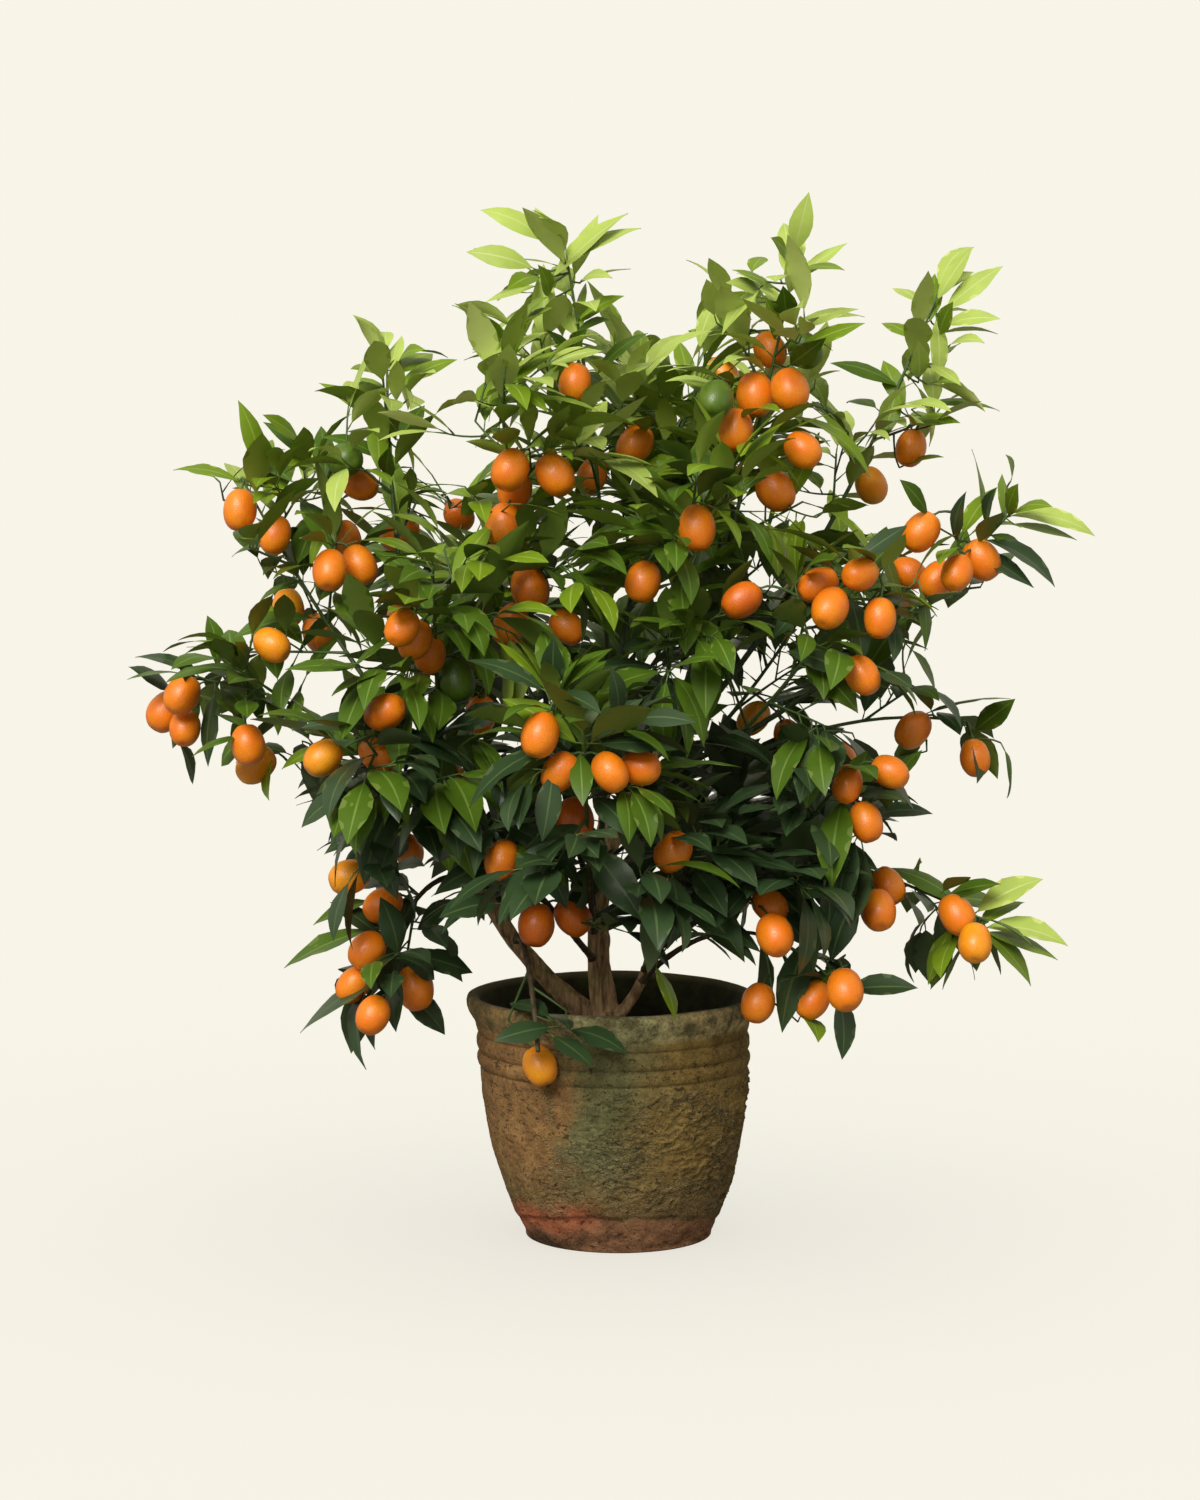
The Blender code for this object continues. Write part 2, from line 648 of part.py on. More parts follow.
def grow_fruit(branch, wood, spines, others, parts):
    """Fruit hang from the wood nearest to the place on the stem where their cluster is."""
    rng = random.Random("fruit " + branch.name)
    place = along(spines[branch.name], branch.fruit_at)[0]
    order = sorted(wood[1:], key=lambda twig: (twig[0][0] - place).length) or wood
    wanted = math.ceil(branch.fruits * FRUIT_SHARE)
    placed = []
    for attempt in range(wanted * TRIES):
        path, own = order[attempt % min(len(order), 3)]
        start = along(path, rng.uniform(0.25, 0.75))[0]
        out = spin(-UP, rng.uniform(0, 2 * math.pi), math.radians(rng.uniform(*FRUIT_LEAN)))
        fruit = fruit_body(start, out, parts)
        free = fruit_body(start + out * 2 * FRUIT_SINK, out, parts)
        tree = tree_of(free)
        bpy.data.objects.remove(free)
        blocked = crosses(tree, others + placed + [tree for path, tree in wood if tree is not own])
        ends = [start + out * FRUIT_LENGTH / 2, start + out * FRUIT_LENGTH]
        if len(placed) < wanted and in_own_space(ends, branch.name, spines) and not blocked:
            placed.append(tree)
        else:
            bpy.data.objects.remove(fruit)
    return placed


def grow_leaves(branch, wood, spines, others, parts):
    """Leaves spiral up each twig and the stem, and those that would cross something are skipped."""
    rng = random.Random("leaves " + branch.name)
    faces = leaf_faces()
    placed = []
    for path, own in wood:
        on_stem = round(length_of(path) / LEAF_SPACING)
        count = max(FEWEST_ON_STEM, on_stem) if own is wood[0][1] else LEAVES_ON_TWIG
        near = others + [tree for path, tree in wood if tree is not own]
        for tries in leaf_sites(rng, path, count):
            for start, direction, roll, size in tries:
                length = LEAF_LENGTH * size
                corners = leaf_corners(start + direction * LEAF_ROOT, direction, roll, length)
                beyond_root = leaf_corners(start, direction, roll, length, CLEAR_OF_ROOT)
                free = BVHTree.FromPolygons(beyond_root, faces)
                if in_own_space(corners[1:], branch.name, spines) and not crosses(free, near + placed):
                    leaf_body(corners, faces, parts)
                    placed.append(free)
                    break
    return placed


def grow_mass(branch, mass, spines, limbs, others):
    """Twigs, fruit and leaves grow on the stem of a mass and are joined to it as one body."""
    parts = bpy.data.collections.new("parts")
    twigs = grow_twigs(branch, spines, others, parts)
    wood = [(spines[branch.name], tree_of(mass))] + twigs
    fruit = grow_fruit(branch, wood, spines, others, parts)
    leaves = grow_leaves(branch, wood, spines, others + fruit, parts)
    apply_boolean(mass, "UNION", parts, "MANIFOLD")
    empty_collection(parts)
    if branch.name in LEAFY_TO_THE_STEM:
        cut_at_parent(mass, branch, limbs)
    keep_largest_body(mass.data)


def main():
    clear_scene()
    bush = new_collection("kumquat")
    cutters = new_collection("cutters", hidden=True)
    look = {name: make_material(name) for name in MATERIALS}
    make_pot(bush, cutters, [look["clay"]])
    make_soil(bush, [look["soil"]])
    make_trunk(bush, [look["bark"]])
    limbs = make_stems(bush, [look["bark"]])
    paths = {branch.name: branch_path(branch, limbs) for branch in BRANCHES}
    bare_branches = [branch for branch in BRANCHES if branch.name not in LEAFY_TO_THE_STEM]
    for branch in bare_branches:
        make_bough(branch, paths[branch.name], limbs, bush, [look["green_bark"]])
    bpy.context.view_layer.update()
    obstacles = [tree_of(obj) for obj in bush.objects]
    foliage_looks = [look[name] for name in FOLIAGE_MATERIALS]
    spines, masses = {}, {}
    for branch in BRANCHES:
        path = paths[branch.name]
        spines[branch.name] = piece_of(path, midway(branch.bare, path) + GAP / length_of(path), 1)
        stem = path if branch.name in LEAFY_TO_THE_STEM else spines[branch.name]
        masses[branch.name] = tube(
            "foliage_" + branch.name, stem, SHOOT_RADIUS, TIP_RADIUS, SHOOT_SIDES, bush, foliage_looks
        )
    stems = {name: tree_of(mass) for name, mass in masses.items()}
    for branch in BRANCHES:
        mass = masses[branch.name]
        others = obstacles + [tree for name, tree in stems.items() if name != branch.name]
        grow_mass(branch, mass, spines, limbs, others)
        stems[branch.name] = tree_of(mass)


main()
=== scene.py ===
"""The looks of a kumquat bush in a clay pot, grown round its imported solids, in metres, +Z up.

The stems, the branches and the way that young wood rises or hangs repeat the rule of the solids. The leafy
stem of each branch carries twigs, those carry finer twigs, and all of them carry leaves of four ages. Fruit
and the leaves that show on their own grow where the photograph shows them, and all others by a seeded rule
that keeps to the outline and the openings of its crown.
"""

import json
import math
import random
from collections import defaultdict, namedtuple

import bpy
from mathutils import Matrix, Vector, noise

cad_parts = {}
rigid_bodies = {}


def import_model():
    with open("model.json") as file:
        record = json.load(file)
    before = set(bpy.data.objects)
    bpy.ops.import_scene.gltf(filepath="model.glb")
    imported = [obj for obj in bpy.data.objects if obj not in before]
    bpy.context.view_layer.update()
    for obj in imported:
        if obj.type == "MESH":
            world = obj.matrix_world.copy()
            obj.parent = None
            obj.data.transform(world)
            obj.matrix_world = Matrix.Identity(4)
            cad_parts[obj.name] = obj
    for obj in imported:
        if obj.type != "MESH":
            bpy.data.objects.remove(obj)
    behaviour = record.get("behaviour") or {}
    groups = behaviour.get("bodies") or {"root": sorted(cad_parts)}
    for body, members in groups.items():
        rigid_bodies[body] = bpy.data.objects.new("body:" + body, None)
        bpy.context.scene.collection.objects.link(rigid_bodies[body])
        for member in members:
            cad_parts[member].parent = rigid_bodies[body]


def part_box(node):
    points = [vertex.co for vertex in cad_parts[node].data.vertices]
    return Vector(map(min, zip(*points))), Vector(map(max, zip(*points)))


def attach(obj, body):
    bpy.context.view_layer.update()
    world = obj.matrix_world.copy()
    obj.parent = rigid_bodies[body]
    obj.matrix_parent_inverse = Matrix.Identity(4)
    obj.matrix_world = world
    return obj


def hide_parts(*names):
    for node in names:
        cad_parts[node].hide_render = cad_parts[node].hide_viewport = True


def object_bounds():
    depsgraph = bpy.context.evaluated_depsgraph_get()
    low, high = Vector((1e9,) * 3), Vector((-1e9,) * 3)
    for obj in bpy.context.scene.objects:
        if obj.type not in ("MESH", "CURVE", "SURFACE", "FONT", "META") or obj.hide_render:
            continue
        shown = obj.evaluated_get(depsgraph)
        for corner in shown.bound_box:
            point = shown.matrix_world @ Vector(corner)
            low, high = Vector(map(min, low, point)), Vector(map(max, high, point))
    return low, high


UP = Vector((0, 0, 1))

# The photograph and its camera
PHOTO_WIDTH = 1200
PHOTO_HEIGHT = 1500
FOCAL_PIXELS = 3306
SENSOR = 36
CAMERA_PLACE = Vector((-0.0112, -2.5, 0.5955))
CAMERA_PITCH = math.radians(5.12)
CAMERA_SIGHT = 200

# Light: the cream of the backdrop, and a broad soft sun
BACKDROP = (0.94, 0.91, 0.81)
FILL_COLOUR = (0.60, 0.575, 0.47)
FLOOR_COLOUR = (0.42, 0.42, 0.42)
FLOOR_REACH = 300
SUN_STRENGTH = 2.9
SUN_SPREAD = math.radians(32)
SUN_TURN = (math.radians(46), math.radians(-24), 0)
SUN_COLOUR = (1.0, 0.97, 0.90)

# The growth rule, nearly the one that the solids follow
CURVE_POINTS = 9
STEM_POINTS = 7
FINE_STEPS = 60
GOLDEN_ANGLE = math.radians(137.5)
BOUGH_RADIUS = 0.0026
SHOOT_RADIUS = 0.0017
TIP_RADIUS = 0.0009
LOW_HEIGHT = 0.25
HIGH_HEIGHT = 0.62
LOW_DROOP = -0.65
HIGH_LIFT = 0.35
TWIG_LIFT = 0.4
LEAF_LIFT = 0.5
TWIG_LENGTH = 0.060
TWIGS_FROM = 0.06
TWIG_LEAN = (48, 66)
TWIG_AT_FOOT = 1.35
TWIG_LOSS_TO_TIP = 0.85
TWIG_SPREAD = (0.85, 1.15)
TWIG_BEND_AT = 0.55
TWIG_SAG = 0.22
TWIG_RISE = 0.6
REACH = 0.125

# Twigs and finer twigs
TWIG_SPACING = 0.024
FEWEST_TWIGS = 3
TWIG_RADIUS = 0.0012
TWIG_TIP = 0.0008
FINE_TWIG_AT = (0.4, 0.68)
FINE_TWIG_LENGTH = 0.032
FINE_TWIG_SPREAD = (0.7, 1.1)
SHOOT_SIDES = 6
RING_SPACING = 0.006

# Leaves
BLADE_LENGTH = (0.060, 0.080)
BLADE_WIDTH = (0.36, 0.45)
WIDTH_AT_REST = 0.9
WIDTH_LOSS_TO_TOP = 0.3
STALK_LENGTH = 0.008
STALK_RADIUS = 0.0007
LEAF_SPACING = 0.0085
LEAVES_FROM = 0.15
TIP_LEAN = 10
FULL_LEAN = 64
LEAN_SPREAD = 7
LEAVES_TO_OPEN = 2.2
SIZE_AT_TIP = 0.85
SPACING_AT_TIP = 0.25
SIZE_ON_FINE_TWIGS = 0.88
TURN_STEP = math.radians(40)
SHRINK_STEP = 0.03
LEAN_OF_LEAF = 12
HABIT_OF_LEAF = 0.5
RISE_OF_LEAF = (0, 0.4)
LEAF_ROLL = 16
LEAF_STATIONS = (0, 0.08, 0.2, 0.34, 0.5, 0.66, 0.8, 0.91, 1)
BLADE_FULLEST = 0.94
BLADE_TAPER = 1.08
RIB = 0.07
UPPER_COLUMNS = (-1, -0.55, -RIB, RIB, 0.55, 1)
UNDER_COLUMNS = (-1, -0.55, 0, 0.55, 1)
SAMPLE_STATIONS = (0.3, 0.5, 0.7, 0.87)
SAMPLE_COLUMNS = (-0.8, 0, 0.8)
BLADE_THICKNESS = 0.0004
MOST_CORNERS = 90000

# How a leaf bends along its length, twists, folds along its rib, cups and ripples, each within a range
LEAF_SHAPE = {
    "bend": (0.3, 1.2),
    "twist": (-0.4, 0.4),
    "fold": (0.05, 0.30),
    "cup": (0, 0.25),
    "wave": (0.01, 0.05),
    "phase": (0, math.tau),
}

# How a leaf finds its place: the tries, how many that fit are compared, how many of its samples may stand
# where the photograph shows none, and what it keeps clear of, in metres and, before a fruit, in pixels
LEAF_TRIES = 9
LEAVES_WEIGHED = 4
LEAF_OVERHANG = 1
LEAF_CLEARANCE = 0.0045
SIGHT_CLEARANCE = 13
SIGHT_CELL = 50
BOX_MARGIN = 0.018
CLEAR_OF_POT = 0.114
ABOVE_RIM = 0.188
LOWEST_LEAF = 0.13

# Leaves that the photograph shows on their own: their least length and their bend, the spacing of the
# places on the wood that may bear one, what a finer twig counts in pixels, and what share of its leaves the
# rule still adds round them
SHORTEST_BLADE = 0.046
SEEN_BEND = (0.3, 0.9)
SPOT_SPACING = 0.006
FINE_TWIG_COST = 6
LEAST_SHARE_ADDED = 0.5
SHARE_PER_LEAF_SEEN = 0.04
ALL_SEEN = ("rim_front",)

# Fruit
FRUIT_RADIUS = 0.0132
FRUIT_LENGTH = 0.0335
FRUIT_SIZES = (0.88, 1.06)
FRUIT_SEGMENTS = 20
FRUIT_RINGS = 14
FRUIT_STALK = 0.0009
FRUIT_STALK_AT_WOOD = 1.15
FRUIT_HANG = 0.022
FRUIT_BELOW = 0.012
FRUIT_ON_STALK = 0.48
STALK_CURL = 0.35
FRUIT_SPOTS = 0.008
FRUIT_SHIFTS = (-0.010, -0.022, 0.002, -0.034, 0.014, -0.046, 0.026)
FRUIT_GIRTH = (0.96, 1.04)
FRUIT_LUMPS = 0.035
FRUIT_BLUNTNESS = 0.92
FRUIT_HOLLOW = 0.07
HOLLOW_WIDTH = 0.22
FRUIT_CLEARANCE = 0.011
FRUIT_SKIN = 0.003
HIDDEN_HANG = 0.008
HIDDEN_LEAN = (5, 55)
HIDDEN_TRIES = 12
HIDDEN_RIPENESS = ("ripe", "ripe", "ripe", "deep", "golden")
BACK_FROM = 0.04
CALYX_RADIUS = 0.0034
CALYX_LOBES = 5
CALYX_HOLLOW = 0.55
CALYX_HEIGHT = 0.0022
CALYX_DROPS = (-0.0007, 0.0004)

# Wood: the trunk's foot as (height, radius) from the level of the soil
TRUNK_PLACE = Vector((-0.009, 0, 0))
TRUNK_FOOT = (
    (-0.004, 0.0245), (0.002, 0.0215), (0.006, 0.0175), (0.011, 0.0150), (0.016, 0.0138), (0.021, 0.0110),
)
TRUNK_SIDES = 48
STEM_SIDES = 24
STEM_RINGS = 0.0015
STEM_SINK = (1.6, 0.8)
STEM_SWELL = 0.22
STEM_SWELL_END = 0.12
BOUGH_SIDES = 12
BOUGH_RINGS = 0.003
COLLAR_LENGTH = 0.006
COLLAR_SWELL = 0.5
BOUGH_OVERLAP = 0.04
JOINT_SPACING = 0.017

# How much of a stem is fused to the trunk, its radius at its foot and tip, and its foot, middle and tip
Stem = namedtuple("Stem", "name collar thick thin foot middle tip")
STEMS = (
    Stem(
        "left", 0.2, 0.0072, 0.0036,
        (-0.018, -0.002, 0.166), (-0.098, -0.022, 0.262), (-0.139, -0.03, 0.385),
    ),
    Stem(
        "centre", 0.27, 0.005, 0.004,
        (-0.012, -0.004, 0.166), (-0.016, -0.01, 0.22), (-0.013, -0.012, 0.276),
    ),
    Stem(
        "right", 0.15, 0.0062, 0.0036,
        (-0.003, 0.001, 0.166), (-0.004, 0.004, 0.29), (0.057, 0.01, 0.405),
    ),
    Stem(
        "low_right", 0.38, 0.0044, 0.003,
        (-0.001, -0.004, 0.166), (0.018, -0.006, 0.19), (0.031, -0.005, 0.231),
    ),
    Stem(
        "back", 0.18, 0.0058, 0.0036,
        (-0.009, 0.009, 0.166), (-0.012, 0.055, 0.23), (-0.006, 0.085, 0.345),
    ),
)

# Where a branch leaves its parent, where it ends, how high its curve arches, the share of it that is a bare
# bough, how many fruit it has that the photograph hides, how young and how dense its leaves are, and the
# share of its leafy stem that has twigs, beyond which it is a leader with leaves alone
Branch = namedtuple("Branch", "name parent at tip arch bare fruits youth density twiggy")
LEAFY_TO_THE_STEM = ("front_low", "front_low_right", "rim_front", "back_middle")
BRANCHES = (
    Branch("far_left", "left", 0.74, (-0.328, 0.02, 0.425), 0.050, 0.42, 0, 0.15, 0.6, 0.75),
    Branch("left_upper", "left", 0.90, (-0.290, 0.03, 0.588), -0.030, 0.36, 2, 0.2, 1, 0.8),
    Branch("left_top", "left", 1.0, (-0.175, 0.06, 0.675), -0.010, 0.45, 1, 0.35, 0.8, 0.5),
    Branch("front_left", "left", 0.82, (-0.130, -0.15, 0.520), -0.050, 0.40, 0, 0.1, 1, 0.8),
    Branch("front_left_low", "left", 0.66, (-0.178, -0.15, 0.392), -0.012, 0.36, 0, -0.1, 1, 0.85),
    Branch("low_left", "left", 0.52, (-0.178, -0.075, 0.208), 0.070, 0.46, 0, 0.0, 0.8, 0.8),
    Branch("top_left", "centre", 1.0, (-0.035, -0.03, 0.735), -0.010, 0.55, 1, 0.4, 0.9, 0.45),
    Branch("upper_left", "centre", 0.80, (-0.085, -0.11, 0.650), -0.090, 0.52, 0, 0.2, 1, 0.85),
    Branch("centre_upper", "right", 1.0, (0.020, 0.03, 0.655), -0.020, 0.30, 1, 0.15, 1, 0.85),
    Branch("centre_front", "right", 0.66, (0.058, -0.13, 0.580), -0.090, 0.44, 0, 0.1, 1, 0.8),
    Branch("front_centre", "centre", 0.62, (-0.022, -0.215, 0.400), -0.050, 0.46, 0, 0.0, 1, 0.8),
    Branch("front_low", "centre", 0.42, (-0.090, -0.14, 0.322), 0.000, 0.30, 0, -0.1, 0.9, 0.85),
    Branch("front_low_right", "low_right", 0.62, (0.060, -0.135, 0.322), -0.010, 0.26, 0, -0.1, 0.9, 0.85),
    Branch("rim_front", "left", 0.33, (-0.056, -0.138, 0.165), 0.060, 0.50, 0, 0.0, 0.5, 0.5),
    Branch("top_right", "right", 0.89, (0.132, -0.04, 0.732), -0.050, 0.40, 1, 0.3, 1, 0.7),
    Branch("far_right_top", "right", 0.80, (0.250, 0.08, 0.718), -0.090, 0.52, 1, 0.45, 0.7, 0.4),
    Branch("right_upper", "right", 0.72, (0.290, -0.04, 0.548), -0.050, 0.56, 1, 0.1, 0.8, 0.7),
    Branch("right_inner", "right", 0.61, (0.172, -0.12, 0.500), -0.050, 0.46, 0, 0.0, 0.9, 0.8),
    Branch("right_thin", "right", 0.52, (0.274, 0.06, 0.388), 0.070, 0.56, 1, 0.0, 0.4, 0.7),
    Branch("right_middle", "low_right", 0.80, (0.172, -0.10, 0.365), -0.020, 0.42, 1, -0.1, 1, 0.85),
    Branch("right_low", "low_right", 1.0, (0.285, -0.04, 0.243), 0.0, 0.46, 1, 0.35, 0.6, 0.6),
    Branch("bottom_right", "low_right", 0.50, (0.155, -0.10, 0.215), 0.070, 0.42, 0, 0.0, 0.8, 0.8),
    Branch("back_top", "back", 1.0, (0.060, 0.17, 0.665), -0.020, 0.42, 5, 0.25, 1, 0.85),
    Branch("back_upper_left", "back", 0.88, (-0.140, 0.24, 0.560), -0.050, 0.42, 5, 0.1, 1, 0.85),
    Branch("back_right", "back", 0.78, (0.190, 0.24, 0.520), -0.060, 0.44, 5, 0.1, 1, 0.85),
    Branch("back_middle", "back", 0.70, (0.010, 0.27, 0.430), 0.040, 0.36, 4, 0.0, 1, 0.85),
    Branch("back_low_left", "back", 0.62, (-0.190, 0.22, 0.330), 0.060, 0.42, 4, 0.0, 1, 0.85),
    Branch("back_low_right", "back", 0.52, (0.140, 0.25, 0.290), 0.080, 0.40, 4, 0.0, 1, 0.85),
)

# Where the middle of each fruit that shows is in the photograph, in pixels across and down, by its branch
FRUIT_SEEN = {
    "far_left": (
        (165, 712), (182, 695), (185, 728), (256, 765, "golden"), (248, 745), (272, 645, "golden"),
    ),
    "left_upper": (
        (240, 510), (275, 535), (360, 485), (345, 540), (360, 565), (330, 570), (345, 460, "green"),
    ),
    "front_left": ((415, 640), (402, 628), (430, 655), (456, 680, "green")),
    "front_left_low": ((385, 712), (377, 755), (323, 758, "golden")),
    "low_left": ((349, 877, "golden"), (367, 950), (353, 985), (373, 1015), (415, 988), (383, 905)),
    "top_left": ((575, 383),),
    "upper_left": ((510, 470), (515, 490), (503, 525), (555, 475), (530, 588), (567, 627), (510, 625)),
    "centre_upper": ((592, 476), (635, 445)),
    "centre_front": ((697, 528), (643, 582)),
    "front_centre": ((540, 735), (560, 772), (610, 772), (640, 768), (575, 820, "deep")),
    "front_low": ((502, 860), (536, 925, "deep"), (573, 917, "deep")),
    "front_low_right": ((673, 852),),
    "rim_front": ((540, 1066, "golden"),),
    "top_right": (
        (735, 430), (755, 395), (790, 390), (770, 350), (803, 450), (775, 490), (715, 400, "green"),
        (805, 350, "green"),
    ),
    "far_right_top": ((911, 448),),
    "right_upper": ((921, 532), (909, 573), (937, 580), (957, 573), (982, 560)),
    "right_inner": ((742, 600, "deep"), (818, 585), (860, 574), (830, 608), (880, 618), (862, 675)),
    "right_thin": ((913, 730), (975, 758)),
    "right_middle": ((847, 784), (866, 822), (890, 772)),
    "right_low": ((888, 886), (878, 910), (957, 915), (975, 943, "golden")),
    "bottom_right": ((770, 905), (775, 935), (758, 1003), (813, 1000), (845, 990)),
}

# Leaves that show on their own in the photograph, by branch and age: root, tip and width in pixels
LEAVES_SEEN = {
    "top_left": {
        "new": (
            (548, 243, 480, 210, 17), (556, 250, 535, 207, 20), (553, 277, 628, 213, 20),
            (565, 262, 641, 228, 15), (533, 268, 466, 252, 20), (582, 280, 612, 278, 13),
        ),
        "fresh": (
            (538, 277, 507, 290, 14), (549, 296, 538, 265, 15), (581, 318, 586, 282, 11),
            (575, 325, 624, 296, 13), (519, 325, 548, 297, 11), (520, 332, 553, 308, 10),
            (508, 335, 452, 305, 11), (506, 353, 475, 317, 11),
        ),
        "grown": (
            (573, 338, 610, 320, 9), (572, 356, 587, 330, 14), (573, 368, 546, 330, 16),
            (597, 375, 648, 333, 13),
        ),
    },
    "top_right": {
        "new": (
            (794, 252, 809, 192, 24), (797, 280, 847, 243, 13), (765, 297, 726, 283, 11),
            (785, 335, 858, 309, 12),
        ),
        "fresh": (
            (788, 262, 771, 238, 9), (803, 268, 844, 270, 9), (775, 288, 733, 270, 11),
            (752, 272, 765, 257, 13), (775, 340, 764, 296, 14), (795, 350, 865, 323, 13),
        ),
        "grown": ((790, 365, 826, 338, 22), (787, 318, 783, 286, 24)),
    },
    "far_right_top": {
        "new": (
            (937, 300, 973, 247, 17), (945, 310, 1003, 266, 20), (920, 303, 892, 288, 11),
            (945, 325, 1000, 319, 14), (950, 345, 984, 343, 12), (919, 378, 918, 341, 19),
        ),
        "fresh": (
            (930, 322, 935, 273, 20), (916, 340, 881, 323, 12), (940, 335, 953, 302, 15),
            (935, 362, 961, 343, 10), (905, 408, 883, 360, 22), (935, 382, 969, 391, 9),
            (908, 425, 960, 423, 11), (898, 388, 884, 440, 20),
        ),
        "grown": (
            (921, 406, 1000, 411, 11), (898, 386, 830, 363, 12), (876, 408, 846, 403, 8),
            (905, 465, 943, 457, 8),
        ),
    },
    "left_top": {
        "new": ((387, 360, 353, 315, 14), (391, 372, 402, 335, 17)),
        "fresh": (
            (385, 420, 319, 383, 18), (380, 371, 351, 369, 10), (386, 397, 355, 377, 7),
            (400, 362, 425, 350, 9),
        ),
        "grown": (
            (392, 433, 345, 432, 10), (400, 440, 425, 405, 16), (383, 460, 320, 437, 14),
            (388, 478, 390, 447, 16),
        ),
    },
    "left_upper": {
        "fresh": ((262, 475, 238, 400, 20), (300, 442, 263, 415, 12), (240, 482, 173, 470, 12)),
        "grown": ((310, 462, 263, 422, 12), (292, 482, 262, 465, 16)),
    },
    "far_left": {
        "old": (
            (198, 674, 135, 657, 15), (172, 690, 129, 667, 16), (215, 692, 208, 767, 18),
            (252, 700, 284, 713, 8),
        ),
        "grown": (
            (195, 683, 176, 659, 18), (217, 668, 207, 615, 18), (247, 668, 235, 642, 17),
            (222, 688, 246, 720, 12), (246, 678, 262, 722, 21), (290, 668, 282, 714, 18),
            (299, 690, 293, 731, 17), (245, 728, 212, 713, 10), (240, 736, 192, 757, 10),
            (248, 738, 221, 767, 13), (180, 745, 193, 785, 9),
        ),
        "fresh": ((268, 692, 278, 735, 14), (272, 755, 269, 800, 10), (325, 745, 282, 769, 16)),
    },
    "low_left": {
        "old": (
            (382, 938, 330, 902, 20), (398, 955, 380, 897, 26), (400, 945, 410, 892, 18),
            (395, 955, 366, 985, 17), (378, 978, 300, 1033, 22), (366, 985, 366, 1070, 16),
            (397, 970, 396, 1032, 18), (397, 957, 435, 980, 20), (415, 955, 473, 973, 24),
            (425, 925, 447, 948, 20), (417, 930, 458, 900, 20), (400, 990, 445, 1035, 24),
        ),
        "grown": (
            (366, 930, 284, 968, 22), (370, 901, 313, 925, 14), (410, 888, 369, 873, 16),
            (388, 870, 424, 866, 13),
        ),
        "fresh": ((383, 872, 385, 832, 13),),
    },
    "right_low": {
        "new": ((977, 912, 1043, 879, 24), (985, 928, 1068, 946, 19)),
        "fresh": (
            (980, 925, 1025, 902, 16), (985, 932, 1058, 960, 14), (985, 933, 1031, 986, 20),
            (952, 928, 928, 985, 20), (958, 935, 941, 978, 15), (917, 885, 922, 862, 12),
        ),
        "grown": ((960, 905, 885, 868, 18), (948, 895, 1000, 884, 18)),
        "old": ((915, 892, 928, 912, 14), (905, 895, 919, 925, 7)),
    },
    "right_upper": {
        "new": ((1010, 516, 1095, 536, 13),),
        "fresh": (
            (986, 527, 972, 449, 10), (1003, 520, 1002, 473, 10), (1010, 482, 1006, 455, 8),
            (1008, 516, 1018, 484, 14), (1012, 514, 1052, 507, 10), (1012, 524, 1077, 540, 9),
        ),
        "grown": ((990, 535, 1030, 560, 16), (928, 515, 900, 480, 13)),
        "old": (
            (988, 530, 996, 488, 9), (955, 540, 966, 492, 17), (985, 540, 1055, 587, 15),
            (965, 548, 1034, 588, 15),
        ),
    },
    "rim_front": {
        "old": (
            (551, 1027, 494, 1041, 22), (548, 1017, 509, 1003, 14), (553, 1036, 592, 1066, 22),
            (570, 1030, 627, 1054, 20), (551, 1016, 570, 1030, 12),
        ),
    },
    "front_low_right": {
        "fresh": ((655, 965, 675, 1020, 12),),
        "old": ((764, 892, 858, 890, 32), (858, 893, 831, 962, 28)),
    },
    "front_low": {
        "old": ((503, 823, 559, 853, 24), (529, 842, 567, 909, 28), (493, 825, 475, 876, 20)),
    },
    "front_centre": {
        "fresh": ((577, 744, 502, 699, 21),),
        "grown": ((580, 753, 583, 806, 24),),
        "old": (
            (554, 690, 554, 637, 24), (544, 690, 466, 660, 22), (556, 693, 601, 714, 18),
            (586, 741, 643, 699, 24), (634, 720, 696, 723, 20), (598, 744, 679, 750, 18),
            (562, 762, 505, 798, 18), (616, 720, 610, 667, 20),
        ),
    },
    "front_left_low": {
        "old": (
            (388, 729, 301, 728, 17), (394, 729, 472, 771, 22), (415, 762, 427, 822, 25),
            (349, 792, 301, 828, 20),
        ),
        "grown": ((394, 789, 361, 858, 23), (352, 798, 334, 837, 20)),
    },
    "front_left": {
        "old": ((439, 639, 398, 653, 18), (447, 680, 436, 729, 26), (454, 729, 508, 705, 24)),
    },
    "right_inner": {
        "old": (
            (850, 597, 862, 665, 21), (843, 583, 772, 640, 20), (860, 557, 908, 525, 20),
            (875, 598, 914, 605, 12), (889, 609, 893, 662, 12), (847, 674, 786, 651, 21),
            (880, 670, 912, 688, 14),
        ),
        "grown": ((921, 590, 925, 651, 16), (805, 570, 833, 560, 12)),
    },
    "right_thin": {
        "grown": ((975, 730, 1015, 699, 24), (1005, 751, 1007, 799, 7), (912, 650, 936, 696, 9)),
        "old": ((973, 736, 977, 783, 14), (938, 712, 960, 735, 14)),
    },
    "right_middle": {
        "old": ((857, 796, 908, 803, 17), (834, 792, 760, 796, 18), (880, 765, 915, 812, 12)),
    },
    "bottom_right": {
        "old": ((812, 935, 782, 1033, 34), (845, 990, 918, 988, 19), (838, 993, 842, 1060, 19)),
        "grown": ((838, 970, 805, 1003, 20),),
        "fresh": ((800, 1015, 818, 1042, 15),),
    },
}

# The middle and the half sizes of the oval in which the photograph's crown hides what is behind it
CROWN_OVAL = (600, 640, 330, 300)

